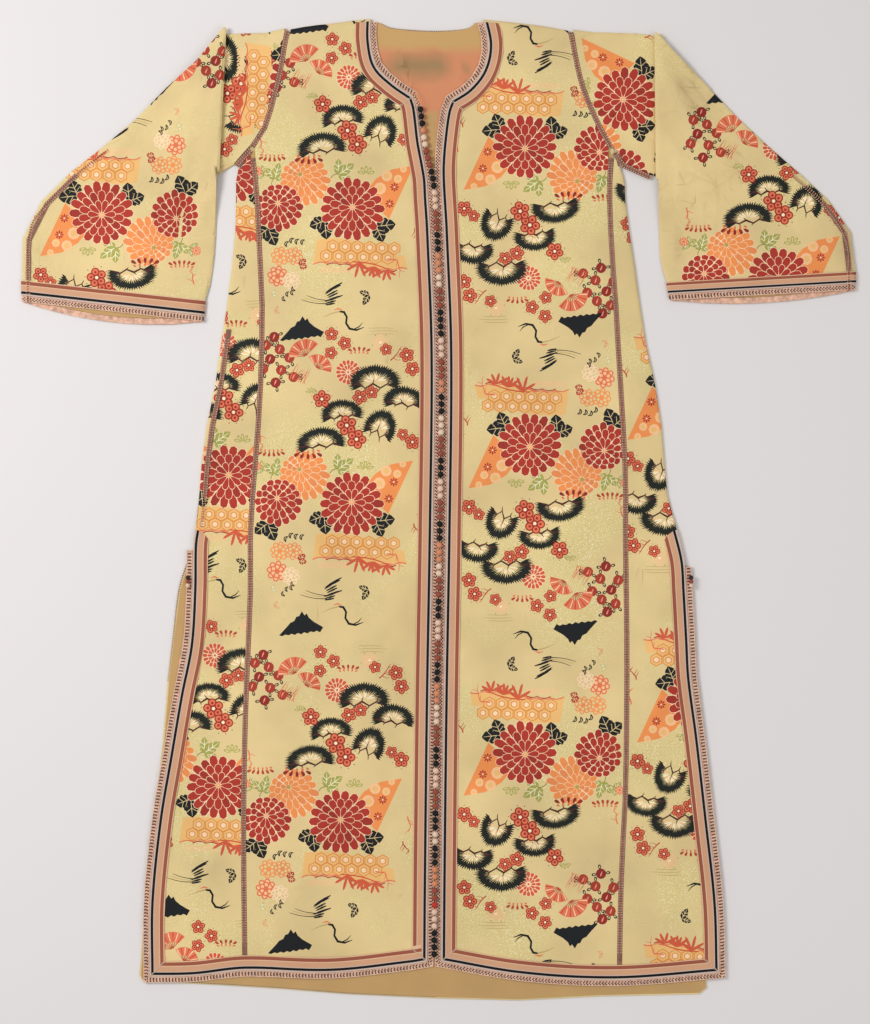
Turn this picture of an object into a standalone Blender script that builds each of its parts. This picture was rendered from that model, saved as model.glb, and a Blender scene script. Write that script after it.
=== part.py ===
# A long-sleeved kaftan of gold brocade, laid out flat with its face up.
# Its pieces are the ones that a maker cuts and sews on: panels, gores, sleeves, linings,
# woven bands, lace edgings, ladder seams, knot buttons and slit knots.
# The origin is the middle of its footprint on the surface. +Y runs to the neck and +Z up.
# "left" and "right" are sides of the view from above, with the neck at the top.
# Every size and place below is in millimetres.

import math

import bmesh
import bpy
from mathutils import Vector

MM = 0.001
FLOOR = 0.0

# Moves the outlines below so that the middle of the footprint is the origin
FOOTPRINT_SHIFT = (0.5, 1.0, 0.0)

# Walls and gaps
CLOTH = 1.5
LINING_CLOTH = 1.0
SLEEVE_CLOTH = 1.2
BAND_CLOTH = 1.0
EDGING_CLOTH = 1.4
SEAM_GAP = 0.3

# Trimmings
BAND_WIDTH = 22.0
EDGING_WIDTH = 8.6
EDGING_LIFT = 0.2
LADDER_WIDTH = 7.0
LADDER_CROWN = 0.7
MITRE_GAP = 0.25

# Levels of the layers that lie on each other
LINING_LEVEL = CLOTH + SEAM_GAP
FRONT_LEVEL = LINING_LEVEL + LINING_CLOTH + SEAM_GAP

# Knot buttons, which close the front in one row
BUTTON_PITCH = 10.2
BUTTON_RADIUS = 4.2
BUTTON_HEIGHT_RADIUS = 3.4
BUTTON_SIDES = 5
BUTTON_FROM_EDGE_AT_NECK = 6.0
BUTTON_STATIONS = [583, 557, 531, 505, 477, 440, 405, 350, 225, 100, -36, -150, -268, -400, -529, -649]
NECK_SLIT_TOP = 531
NECK_SLIT_FOOT = 450
OPENING_WIDTH = 19.7
BEAD_NECK_SHARE = 0.45
BEAD_RINGS = [
    # place_in_pitch, share_of_radius
    (0.0, BEAD_NECK_SHARE),
    (0.28, 1.0),
    (0.72, 1.0),
]

# Small knots at the top of each side slit, on the lace
SLIT_KNOT_Y = -105
SLIT_KNOT_PITCH = 6.0
SLIT_KNOT_RADIUS = 3.4
SLIT_KNOTS = [
    # from_edge, up
    (4.0, 8.0),
    (8.5, 0.0),
    (5.0, -8.0),
]

# The slit band's turned-in upper end
SLIT_BAND_END = [
    # y, share_of_width
    (-30, 0.25),
    (-36, 0.7),
]
SLIT_BAND_END_SLOPE = 2.0

# The grid of the front: rows that all its pieces share, from the neck corner down
NECK_ROWS = 6
BODY_ROWS = [575, 550, 522, 508, 475, 445, 405, 350, 295, 240, 180, 120, 65, 20,
             -25, -45, -75, -120, -180, -240, -300, -360, -420, -480, -540, -600]
PANEL_CELLS = 5
GORE_CELLS = 3
ARMHOLE_FOOT = 522
GORE_HEAD = 475
LAST_ROLLED_ROW = 20
FIRST_SLIT_ROW = -25

# Cloth that rolls over a folded edge down to the surface: how far the outer and inner
# faces lie in from the edge, and how far they lie below the flat cloth
ROLL = [
    # outer_in, outer_drop, inner_in, inner_drop
    (4.0, 0.0, 4.0, 0.0),
    (1.0, 0.8, 2.3, 0.4),
    (0.0, 2.4, 1.5, 1.5),
]
ROLL_WALL = 1.5
FLAT_EDGE_INSETS = (4.0, 2.0, 1.0, 0.0)
BACK_INSIDE_ROLL = 1.8
LINING_INSIDE_ROLL = 3.5

# Broad soft swells of the front, as ridges between two points
SWELLS = [
    # x_start, y_start, x_end, y_end, half_width, height
    (-190, 330, -150, -300, 62, 1.8),
    (150, 300, 170, -330, 66, 2.2),
    (-205, -560, -215, -720, 46, 1.5),
    (160, -560, 150, -720, 52, 1.9),
    (-330, -330, -350, -560, 24, 1.0),
    (322, -260, 340, -540, 26, 1.2),
]

# Sleeves: tubes pressed flat, turned down over a wedge-shaped pleat
TUBE_PLEAT = 3.4
TUBE_ARMHOLE = 4.6
TUBE_CUFF = 4.4
PLEAT_PITCH = 4.1
PLEAT_TURN_STEPS = 3
PLEAT_SLOPE_START = 10.0
PLEAT_SLOPE_LENGTH = 62.0
SLEEVE_SECTIONS = 8
CUFF_RISE_FROM = 0.75
TUBE_EDGE = 2.5
LINING_DEPTH_SECTIONS = 3
SLEEVE_SEAM_INSET = 6.0
SIDE_SEAM_INSET = 5.0
SIDE_SEAM_TOP = 260

# Outlines read down or outward from the neck, one table of x and y for each edge
LEFT = {
    "name": "left",
    "outward": -1,
    "shoulder": [(-99, 710), (-120, 708), (-158, 703), (-187, 700), (-215, 695)],
    "neck": [(-99, 710), (-99, 676), (-91, 642), (-68, 618), (-38, 597)],
    "front": [(-38, 597), (-33, 580), (-27, 531), (-21, 499), (-17.4, 477), (-15.9, 450),
              (-13, 405), (-6.4, 225), (-9, -36), (-13, -268), (-16, -529), (-17, -655)],
    "hem": [(-17, -655), (-41, -659), (-154, -671), (-281, -668), (-355, -676), (-419, -677)],
    "slit": [(-352, -25), (-356, -52), (-357, -117), (-362, -197), (-376, -268),
             (-392, -361), (-407, -450), (-419, -570), (-419, -677)],
    "slit_edging_top": -60,
    "side": [(-290, 494), (-294, 477), (-294, 434), (-297, 376), (-306, 303), (-315, 245),
             (-323, 187), (-335, 129), (-342, 86), (-348, 13), (-352, -25)],
    "seam": [(-270, 513), (-264, 457), (-260, 376), (-256, 296), (-257, 225), (-260, 145),
             (-268, 44), (-273, -36), (-273, -117), (-280, -289), (-283, -450), (-281, -670)],
    "armhole": [(-215, 695), (-220, 671), (-225, 639), (-235, 597), (-242, 571),
                (-252, 544), (-270, 518)],
    "gore_head": [(-273.9, 512.6), (-290.2, 494.2)],
    "underarm": [(-276.3, 521.7), (-296.4, 499.6)],
    "sleeve_head": [
        # top_x, top_y, under_x, under_y
        (-250, 690, -297, 499),
        (-292, 689, -317, 486),
    ],
    "pleat_under": (-319, 688, -361, 480),
    "crease": (-307, 697, -317, 487),
    "sleeve_top": [(-311, 696), (-339, 660), (-397, 608), (-455, 550), (-529, 492),
                   (-574, 448), (-596, 419), (-603, 390), (-604, 361), (-604, 331)],
    "sleeve_under": [(-321, 487), (-322, 448), (-325, 376), (-331, 330), (-339, 302)],
    "cuff": (-604, 309, -341, 280),
    "back_reach": (60, -60),
    "sleeve_seam_sections": 3,
}
RIGHT = {
    "name": "right",
    "outward": 1,
    "shoulder": [(64, 709), (96, 706), (148, 700), (187, 693)],
    "neck": [(64, 709), (71, 671), (64, 637), (44, 610), (17, 592)],
    "front": [(17, 592), (11, 575), (5, 531), (2.6, 499), (2.6, 477), (4, 450),
              (6.7, 405), (13.3, 225), (10.7, -36), (6.7, -268), (3.7, -529), (2.7, -655)],
    "hem": [(2.7, -655), (115, -674), (255, -682), (406, -671)],
    "slit": [(343, -25), (355, -74), (358, -117), (362, -190), (365, -245), (376, -328),
             (390, -450), (403, -570), (406, -671)],
    "slit_edging_top": -84,
    "side": [(263.5, 494), (268.5, 480), (271, 434), (280, 376), (290, 303), (304, 216),
             (318, 158), (325, 86), (331, 20), (343, -25)],
    "seam": [(249, 513), (247, 457), (250, 376), (256, 296), (260, 225), (265, 145),
             (270, 44), (270, -36), (272, -218), (270, -409), (264, -529), (261, -670)],
    "armhole": [(187, 693), (194, 654), (203, 615), (216, 580), (231, 548), (249, 515)],
    "gore_head": [(253.6, 508.9), (262.8, 496.1)],
    "underarm": [(257, 517.5), (270, 500.2), (307, 483.7)],
    "sleeve_head": [
        # top_x, top_y, under_x, under_y
        (222, 691, 270, 500.5),
        (285, 689, 307, 484),
    ],
    "pleat_under": (325, 686, 358, 470),
    "crease": (311, 689, 313, 477),
    "sleeve_top": [(315, 688), (336, 666), (393, 608), (450, 550), (516, 492), (564, 448),
                   (592, 410), (602, 382), (604, 362), (603, 344)],
    "sleeve_under": [(317, 477), (319, 405), (321, 361), (326, 340), (330, 328)],
    "cuff": (603, 326, 333, 311),
    "back_reach": (44, -44),
    "sleeve_seam_sections": 2,
}
SIDES = [LEFT, RIGHT]

BACK_HEM = [(-429, -684), (-315, -690), (-235, -695), (-133, -703), (-6, -709),
            (115, -712), (235, -706), (377, -703), (387, -695)]
BACK_LEFT_SLIT = [(-353.5, -50), (-364, -74), (-377, -117), (-386, -190), (-393, -248),
                  (-400, -335), (-413, -451), (-422, -509), (-426, -567), (-432, -654), (-434, -676)]
BACK_RIGHT_SLIT = [(387, -677), (381, -567), (370, -422), (355, -277), (346, -132), (341, -30)]
BACK_NECK = [(-87, 705), (-71, 697), (-40, 693.5), (-6, 692), (25, 693.5), (44, 697), (54, 705)]
LINING_INSET = 2.5
LINING_NECK_INSET = 1.0

COLOURS = {
    "brocade": (0.70, 0.57, 0.27),
    "lining": (0.48, 0.35, 0.15),
    "band": (0.78, 0.46, 0.33),
    "lace": (0.62, 0.40, 0.36),
    "ladder": (0.40, 0.22, 0.19),
    "knots": (0.06, 0.05, 0.06),
}


class Curve:
    # A smooth line through the points of an outline.
    def __init__(self, points, steps=10):
        knots = [Vector(point) for point in points]
        slopes = self.slopes(knots)
        self.samples = []
        for i in range(len(knots) - 1):
            span = (knots[i + 1] - knots[i]).length
            for step in range(steps):
                t = step / steps
                point = knots[i] * (2 * t**3 - 3 * t**2 + 1) + knots[i + 1] * (3 * t**2 - 2 * t**3)
                point += slopes[i] * span * (t**3 - 2 * t**2 + t)
                point += slopes[i + 1] * span * (t**3 - t**2)
                self.samples.append(point)
        self.samples.append(knots[-1])
        self.lengths = [0.0]
        for start, end in zip(self.samples, self.samples[1:]):
            self.lengths.append(self.lengths[-1] + (end - start).length)

    @staticmethod
    def slopes(knots):
        slopes = []
        last = len(knots) - 1
        for i in range(len(knots)):
            before = knots[max(i - 1, 0)]
            after = knots[min(i + 1, last)]
            slopes.append((after - before) / max((after - before).length, 1e-6))
        return slopes

    def at(self, share):
        wanted = share * self.lengths[-1]
        for i in range(len(self.samples) - 1):
            if self.lengths[i + 1] >= wanted:
                part = (wanted - self.lengths[i]) / (self.lengths[i + 1] - self.lengths[i])
                return self.samples[i].lerp(self.samples[i + 1], part)
        return self.samples[-1].copy()

    def crossing(self, axis, value):
        # The point where the line passes a value of x (axis 0) or y (axis 1).
        for start, end in zip(self.samples, self.samples[1:]):
            low, high = sorted((start[axis], end[axis]))
            if low <= value <= high and high > low:
                return start.lerp(end, (value - start[axis]) / (end[axis] - start[axis]))
        return min(self.samples, key=lambda sample: abs(sample[axis] - value)).copy()

    def at_x(self, x):
        return self.crossing(0, x)

    def at_y(self, y):
        return self.crossing(1, y)


def offset_path(path, distance):
    # The path moved sideways, to the left of its direction, with mitred corners.
    moved = []
    for i, point in enumerate(path):
        arriving = (point - path[i - 1]).normalized() if i > 0 else None
        leaving = (path[i + 1] - point).normalized() if i < len(path) - 1 else None
        arriving = arriving or leaving
        leaving = leaving or arriving
        normal = Vector((-arriving.y, arriving.x)) + Vector((-leaving.y, leaving.x))
        normal.normalize()
        stretch = normal.dot(Vector((-arriving.y, arriving.x)))
        moved.append(point + normal * (distance / stretch))
    return moved


def distance_to_line(point, start, end):
    along = end - start
    share = max(0.0, min(1.0, (point - start).dot(along) / along.length_squared))
    return (point - start - along * share).length


def front_level(point):
    # The underside of the front cloth over the lining.
    level = FRONT_LEVEL
    for x_start, y_start, x_end, y_end, half_width, height in SWELLS:
        away = distance_to_line(point, Vector((x_start, y_start)), Vector((x_end, y_end)))
        level += height * math.exp(-((away / half_width) ** 2))
    return level


def cloth_material(name, colour):
    material = bpy.data.materials.new(name)
    material.use_nodes = True
    shader = material.node_tree.nodes["Principled BSDF"]
    shader.inputs["Base Color"].default_value = (*colour, 1.0)
    shader.inputs["Roughness"].default_value = 0.8
    shader.inputs["Metallic"].default_value = 0.0
    return material


def add_solid(name, points, faces, colour):
    # Repeated points are welded, so a cell may narrow to a triangle.
    mesh = bpy.data.meshes.new(name)
    work = bmesh.new()
    shift = Vector(FOOTPRINT_SHIFT)
    corners = [work.verts.new((Vector(point) + shift) * MM) for point in points]
    for face in faces:
        work.faces.new([corners[index] for index in face])
    bmesh.ops.triangulate(work, faces=work.faces[:])
    bmesh.ops.recalc_face_normals(work, faces=work.faces[:])
    work.to_mesh(mesh)
    work.free()
    solid = bpy.data.objects.new(name, mesh)
    mesh.materials.append(cloth_material(name, COLOURS[colour]))
    bpy.context.scene.collection.objects.link(solid)
    return solid


def grid_wall(name, tops, undersides, colour):
    # A wall between two grids of points, closed all round its rim.
    rows = len(tops)
    columns = len(tops[0])
    points = [point for row in tops for point in row]
    under = len(points)
    points += [point for row in undersides for point in row]
    faces = []
    for r in range(rows - 1):
        for c in range(columns - 1):
            a = r * columns + c
            cell = (a, a + 1, a + columns + 1, a + columns)
            faces.append(cell)
            faces.append(tuple(under + index for index in reversed(cell)))
    rim = [c for c in range(columns)]
    rim += [r * columns + columns - 1 for r in range(1, rows)]
    rim += [(rows - 1) * columns + c for c in range(columns - 2, -1, -1)]
    rim += [r * columns for r in range(rows - 2, 0, -1)]
    for here, there in zip(rim, rim[1:] + rim[:1]):
        faces.append((there, here, under + here, under + there))
    return add_solid(name, points, faces, colour)


def ribbon(name, side_a, side_b, lift, thickness, colour, crown=0.0):
    # A strip between two lines of plan points that lies at a height over the front level.
    tops = []
    undersides = []
    for a, b in zip(side_a, side_b):
        plan = [a, b]
        if crown:
            plan = [a, (a + b) / 2, b]
        levels = [front_level(point) + lift for point in plan]
        rise = [0.0] * len(plan)
        if crown:
            rise[1] = crown
        undersides.append([(p.x, p.y, z) for p, z in zip(plan, levels)])
        tops.append([(p.x, p.y, z + thickness + up) for p, z, up in zip(plan, levels, rise)])
    return grid_wall(name, tops, undersides, colour)


def flat_plate(name, outline, bottom, top, colour):
    # A flat sheet of cloth cut to an outline.
    count = len(outline)
    points = [(p.x, p.y, top) for p in outline] + [(p.x, p.y, bottom) for p in outline]
    faces = [tuple(range(count)), tuple(range(2 * count - 1, count - 1, -1))]
    for i in range(count):
        j = (i + 1) % count
        faces.append((j, i, count + i, count + j))
    return add_solid(name, points, faces, colour)


def tube_wall(name, outer_rings, inner_rings, colour):
    # A tube between rings of points, open at both ends.
    sides = len(outer_rings[0])
    count = len(outer_rings)
    points = [point for ring in outer_rings + inner_rings for point in ring]
    inner = count * sides
    faces = []
    for r in range(count - 1):
        for i in range(sides):
            j = (i + 1) % sides
            cell = (r * sides + i, r * sides + j, (r + 1) * sides + j, (r + 1) * sides + i)
            faces.append(cell)
            faces.append(tuple(inner + index for index in reversed(cell)))
    for r in (0, count - 1):
        for i in range(sides):
            j = (i + 1) % sides
            faces.append((r * sides + i, r * sides + j, inner + r * sides + j, inner + r * sides + i))
    return add_solid(name, points, faces, colour)


def neck_rows(side):
    # Rows from the neck edge across the band to the armhole, as edge, band line and armhole points.
    neck = Curve(side["neck"])
    armhole = Curve(side["armhole"])
    front = Curve(side["front"])
    corner = neck.at(1.0)
    edges = [neck.at(k / NECK_ROWS) for k in range(NECK_ROWS + 1)]
    path = edges + [front.at_y(BODY_ROWS[0])]
    lines = offset_path(path, BAND_WIDTH * side["outward"])[:-1]
    shoulder = Curve(side["shoulder"])
    lines[0] = shoulder.at_x(lines[0].x)
    top = side["armhole"][0][1]
    rows = []
    for k in range(NECK_ROWS + 1):
        foot_y = top + (corner.y - top) * k / NECK_ROWS
        rows.append((edges[k], lines[k], armhole.at_y(foot_y)))
    return rows


def seam_edge(side, y, away):
    # The edge of a panel beside the ladder seam, away from its centre line.
    return Curve(side["seam"]).at_y(y) + Vector((away * side["outward"], 0))


def half_ladder():
    return LADDER_WIDTH / 2 + SEAM_GAP


def body_rows(side):
    # Rows below the neck corner, as front edge, band line and armhole or seam points.
    front = Curve(side["front"])
    armhole = Curve(side["armhole"])
    inward = Vector((side["outward"] * BAND_WIDTH, 0))
    rows = []
    for y in BODY_ROWS:
        edge = front.at_y(y)
        outer = armhole.at_y(y) if y >= ARMHOLE_FOOT else seam_edge(side, y, -half_ladder())
        rows.append((edge, edge + inward, outer))
    return rows


def hem_columns(side):
    # Plan points of the hem edge and of the band line over it, from the front corner outward.
    hem = Curve(side["hem"])
    start = hem.at(0.0)
    end = hem.at(1.0)
    line_start = start.x + side["outward"] * BAND_WIDTH
    line_end = end.x - side["outward"] * BAND_WIDTH
    seam = seam_edge(side, end.y + BAND_WIDTH, -half_ladder()).x
    gore = seam_edge(side, end.y + BAND_WIDTH, half_ladder()).x
    panel_x = [line_start + (seam - line_start) * k / PANEL_CELLS for k in range(PANEL_CELLS + 1)]
    gore_x = [gore + (line_end - gore) * k / GORE_CELLS for k in range(GORE_CELLS + 1)]
    front_at_line = Curve(side["front"]).at_y(start.y + BAND_WIDTH)
    slit_at_line = Curve(side["slit"]).at_y(end.y + BAND_WIDTH)
    return {
        "corner": start,
        "slit_corner": end,
        "front_at_line": front_at_line,
        "slit_at_line": slit_at_line,
        "panel": [hem.at_x(x) for x in panel_x],
        "gore": [hem.at_x(x) for x in gore_x],
    }


def raised(point, height):
    return Vector((point.x, point.y + height))


def wall_row(plan):
    # Top and underside points of one row of the front cloth.
    tops = [(p.x, p.y, front_level(p) + CLOTH) for p in plan]
    undersides = [(p.x, p.y, front_level(p)) for p in plan]
    return tops, undersides


def spread(first, last, cells):
    return [first.lerp(last, k / cells) for k in range(cells + 1)]


def rolled_point(edge, inward):
    # Pairs of points, outer and inner face, from the flat cloth over the edge to the surface.
    pairs = []
    level = front_level(edge)
    for outer_in, outer_drop, inner_in, inner_drop in ROLL:
        outer = edge + inward * outer_in
        inner = edge + inward * inner_in
        pairs.append(((outer.x, outer.y, level + CLOTH - outer_drop),
                      (inner.x, inner.y, level - inner_drop)))
    inner = edge + inward * ROLL_WALL
    pairs.append(((edge.x, edge.y, FLOOR), (inner.x, inner.y, FLOOR)))
    return pairs


def make_front_panel(side):
    # The panel from the neck and front edge to the armhole and the gore seam.
    tops = []
    undersides = []
    upper = neck_rows(side)
    edge, line, outer = upper[0]
    shoulder = Curve(side["shoulder"])
    plan = [edge] + [shoulder.at_x(p.x) for p in spread(line, outer, PANEL_CELLS)]
    rolled = [rolled_point(p, Vector((0, -1))) for p in plan]
    for k in range(len(ROLL), -1, -1):
        tops.append([pairs[k][0] for pairs in rolled])
        undersides.append([pairs[k][1] for pairs in rolled])
    for edge, line, outer in upper[1:] + body_rows(side):
        top, underside = wall_row([edge] + spread(line, outer, PANEL_CELLS))
        tops.append(top)
        undersides.append(underside)
    hem = hem_columns(side)
    for edge, height in ((hem["front_at_line"], BAND_WIDTH), (hem["corner"], 0.0)):
        top, underside = wall_row([edge] + [raised(p, height) for p in hem["panel"]])
        tops.append(top)
        undersides.append(underside)
    grid_wall(f"front_panel_{side['name']}", tops, undersides, "brocade")


def gore_edge(side, y):
    edge = Curve(side["side"]) if y > FIRST_SLIT_ROW else Curve(side["slit"])
    return edge.at_y(y)


def flat_edge_pairs(line, edge):
    # The same columns as a rolled edge, laid flat between the band line and the edge.
    pairs = []
    width = (edge - line).length
    for inset in FLAT_EDGE_INSETS:
        share = 1.0 - inset / width
        point = line.lerp(edge, share)
        level = front_level(line) * (1 - share) + front_level(edge) * share
        pairs.append(((point.x, point.y, level + CLOTH), (point.x, point.y, level)))
    return pairs


def make_side_gore(side):
    # The gore from the seam to the side, rolled to the surface above the slit and flat beside it.
    inward = Vector((-side["outward"], 0))
    tops = []
    undersides = []

    def add_row(seam, edge, rolled):
        inset = min(BAND_WIDTH, (edge - seam).length * 0.6)
        line = edge + (seam - edge).normalized() * inset
        top, underside = wall_row(spread(seam, line, GORE_CELLS))
        pairs = rolled_point(edge, inward) if rolled else flat_edge_pairs(line, edge)
        tops.append(top + [pair[0] for pair in pairs])
        undersides.append(underside + [pair[1] for pair in pairs])

    head_seam, head_side = [Vector(point) for point in side["gore_head"]]
    add_row(head_seam, head_side, True)
    for y in BODY_ROWS:
        if y <= GORE_HEAD:
            add_row(seam_edge(side, y, half_ladder()), gore_edge(side, y), y >= LAST_ROLLED_ROW)
    hem = hem_columns(side)
    for edge, height in ((hem["slit_at_line"], BAND_WIDTH), (hem["slit_corner"], 0.0)):
        columns = [raised(p, height) for p in hem["gore"]]
        top, underside = wall_row(columns)
        pairs = flat_edge_pairs(columns[-1], edge)
        tops.append(top + [pair[0] for pair in pairs])
        undersides.append(underside + [pair[1] for pair in pairs])
    grid_wall(f"side_gore_{side['name']}", tops, undersides, "brocade")


def back_outline(inset, neck_inset, inside, reach):
    outline = [Vector((x, y - neck_inset)) for x, y in BACK_NECK]
    outline += back_side(RIGHT, inside, reach)
    outline += [Vector((x - inset, y)) for x, y in reversed(BACK_RIGHT_SLIT)]
    outline += [Vector((x, y + inset)) for x, y in reversed(BACK_HEM)]
    outline += [Vector((x + inset, y)) for x, y in reversed(BACK_LEFT_SLIT)]
    outline += reversed(back_side(LEFT, inside, reach))
    return outline


def make_back():
    # The back panel and its lining, flat under the front and a little longer than it.
    panel = back_outline(0.0, 0.0, BACK_INSIDE_ROLL, LADDER_WIDTH + SEAM_GAP)
    flat_plate("back_panel", panel, FLOOR, CLOTH, "brocade")
    lining = back_outline(LINING_INSET, LINING_NECK_INSET, LINING_INSIDE_ROLL, 0.0)
    flat_plate("back_lining", lining, LINING_LEVEL, LINING_LEVEL + LINING_CLOTH, "lining")


def back_side(side, inside, reach):
    # The back's outline from the neck end of the shoulder, by the armhole and side, to the slit.
    outward = side["outward"]
    shoulder = Curve(side["shoulder"])
    neck_end = side["shoulder"][0][0] + outward * BAND_WIDTH
    arm_end = side["shoulder"][-1][0]
    path = [shoulder.at_x(x) - Vector((0, inside)) for x in (neck_end, (neck_end + arm_end) / 2, arm_end)]
    armhole = armhole_line(side)
    if reach:
        path += offset_path(armhole, reach * outward)[1:]
    else:
        path += armhole[1:]
    for y in BODY_ROWS:
        if GORE_HEAD >= y >= FIRST_SLIT_ROW:
            path.append(gore_edge(side, y) - Vector((outward * inside, 0)))
    return path


def armhole_line(side):
    # The outer points of the front panel's rows down to the foot of the armhole.
    rows = neck_rows(side) + body_rows(side)
    return [outer for _, _, outer in rows if outer.y >= ARMHOLE_FOOT]


def make_bands(side):
    # The woven bands on the edges of the front, mitred at the corners.
    name = side["name"]
    outward = side["outward"]
    lift = CLOTH + SEAM_GAP
    rows = neck_rows(side)
    down = Vector((0, MITRE_GAP))
    start = Vector((0, -ROLL[0][0]))
    lines = [rows[0][1] + start] + [line for _, line, _ in rows[1:]]
    edges = [rows[0][0] + start] + [edge for edge, _, _ in rows[1:]]
    lines[-1] = lines[-1] + down
    edges[-1] = edges[-1] + down
    ribbon(f"neck_band_{name}", lines, edges, lift, BAND_CLOTH, "band")

    hem = hem_columns(side)
    line_corner = raised(hem["panel"][0], BAND_WIDTH)
    body = body_rows(side)
    lines = [rows[-1][1] - down] + [line for _, line, _ in body] + [line_corner + down]
    edges = [rows[-1][0] - down] + [edge for edge, _, _ in body] + [hem["corner"] + down]
    ribbon(f"front_band_{name}", lines, edges, lift, BAND_CLOTH, "band")

    aside = Vector((outward * MITRE_GAP, 0))
    columns = hem["panel"] + hem["gore"]
    slit_line = raised(hem["gore"][-1], BAND_WIDTH)
    lines = [raised(p, BAND_WIDTH) for p in columns]
    lines[0] += aside * 2
    lines[-1] -= aside * 2
    lines = [line_corner + aside] + lines + [slit_line - aside]
    edges = [hem["corner"] + aside] + columns + [hem["slit_corner"] - aside]
    ribbon(f"hem_band_{name}", lines, edges, lift, BAND_CLOTH, "band")

    slit = Curve(side["slit"])
    lines = []
    edges = []
    for y, share in SLIT_BAND_END:
        edges.append(slit.at_y(y))
        lines.append(edges[-1] - Vector((outward * BAND_WIDTH * share, SLIT_BAND_END_SLOPE)))
    for y in BODY_ROWS:
        if y < FIRST_SLIT_ROW:
            edges.append(slit.at_y(y))
            lines.append(edges[-1] - Vector((outward * BAND_WIDTH, 0)))
    lines.append(slit_line + down)
    edges.append(hem["slit_corner"] + down)
    ribbon(f"slit_band_{name}", lines, edges, lift, BAND_CLOTH, "band")


def make_edging(side):
    # The lace worked on the edge all the way from the shoulder to the top of the slit.
    hem = hem_columns(side)
    path = [edge for edge, _, _ in neck_rows(side)]
    path[0] = path[0] - Vector((0, ROLL[0][0]))
    path += [edge for edge, _, _ in body_rows(side)]
    path += [hem["front_at_line"], hem["corner"]] + hem["panel"] + hem["gore"]
    path += [hem["slit_corner"], hem["slit_at_line"]]
    slit = Curve(side["slit"])
    rows = [y for y in BODY_ROWS if y < side["slit_edging_top"]]
    path += [slit.at_y(y) for y in reversed(rows)]
    path.append(slit.at_y(side["slit_edging_top"]))
    turn = -side["outward"]
    near = offset_path(path, SEAM_GAP * turn)
    far = offset_path(path, (SEAM_GAP + EDGING_WIDTH) * turn)
    tops = []
    undersides = []
    for edge, a, b in zip(path, near, far):
        level = front_level(edge) + EDGING_LIFT
        undersides.append([(a.x, a.y, level), (b.x, b.y, level)])
        tops.append([(a.x, a.y, level + EDGING_CLOTH), (b.x, b.y, level + EDGING_CLOTH)])
    grid_wall(f"edging_{side['name']}", tops, undersides, "lace")


def make_ladder_seams(side):
    # Openwork seams, as wide as a ladder stitch, that join the pieces edge to edge.
    name = side["name"]
    outward = side["outward"]
    hem = hem_columns(side)
    half = LADDER_WIDTH / 2
    rows = [y for y in BODY_ROWS if y < ARMHOLE_FOOT]
    near = [seam_edge(side, y, -half) for y in rows]
    far = [seam_edge(side, y, half) for y in rows]
    foot = Vector((0, BAND_WIDTH + SEAM_GAP))
    near.append(hem["panel"][-1] + foot + Vector((outward * SEAM_GAP, 0)))
    far.append(hem["gore"][0] + foot - Vector((outward * SEAM_GAP, 0)))
    ribbon(f"gore_seam_{name}", near, far, 0.0, CLOTH, "ladder", LADDER_CROWN)

    armhole = armhole_line(side)
    armhole[0] = armhole[0] - Vector((0, ROLL[0][0]))
    near = offset_path(armhole, SEAM_GAP * outward)
    far = offset_path(armhole, (SEAM_GAP + LADDER_WIDTH) * outward)
    ribbon(f"armhole_seam_{name}", near, far, 0.0, CLOTH, "ladder", LADDER_CROWN)

    path = [Vector(point) for point in side["underarm"]]
    near = offset_path(path, -SEAM_GAP * outward)
    far = offset_path(path, -(SEAM_GAP + LADDER_WIDTH) * outward)
    ribbon(f"underarm_seam_{name}", near, far, 0.0, CLOTH, "ladder", LADDER_CROWN)


def make_side_seam(side):
    # The left side seam, which rolls round to the front and shows on the gore beside the fold.
    edges = []
    rows = [SIDE_SEAM_TOP] + [y for y in BODY_ROWS if SIDE_SEAM_TOP > y > FIRST_SLIT_ROW]
    for y in rows:
        edges.append(gore_edge(side, y))
    inward = Vector((-side["outward"], 0))
    near = [edge + inward * SIDE_SEAM_INSET for edge in edges]
    far = [edge + inward * (SIDE_SEAM_INSET + LADDER_WIDTH) for edge in edges]
    ribbon(f"side_seam_{side['name']}", near, far, CLOTH + SEAM_GAP, BAND_CLOTH, "ladder", LADDER_CROWN)


class Section:
    # One cut through a sleeve: its centre points from the top fold to the underarm fold,
    # which way its face looks, and how thick the flattened tube is there.
    def __init__(self, points, normal, thickness, reach=(0.0, 0.0)):
        self.points = points
        self.normal = normal
        self.thickness = thickness
        self.reach = reach

    def ring(self, grow):
        # The section as a closed ring, grown outward or, for the hollow, inward.
        points = self.points
        along = (points[-1] - points[0]).normalized()
        face = self.normal * (self.thickness / 2 + grow)
        end_shift = along * grow * (1.0 if grow > 0 else 1.8)
        count = len(points) - 1
        first = points[0] - end_shift
        last = points[-1] + end_shift - Vector((0, self.reach_at(1.0) / 2, 0))
        front = []
        back = []
        for i in range(1, count):
            shift = Vector()
            if grow < 0 and i == 1:
                shift = -end_shift
            if grow < 0 and i == count - 1:
                shift = end_shift
            front.append(points[i] + shift + face)
            back.append(self.back_point(i) + shift - face)
        return [first] + front + [last] + back[::-1]

    def reach_at(self, share):
        return self.reach[0] * share + self.reach[1] * share * share

    def back_point(self, i):
        # The back edge of a cuff reaches further than its front edge.
        length = (self.points[-1] - self.points[0]).length
        share = (self.points[i] - self.points[0]).length / length
        return self.points[i] - Vector((0, self.reach_at(share), 0))


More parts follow.
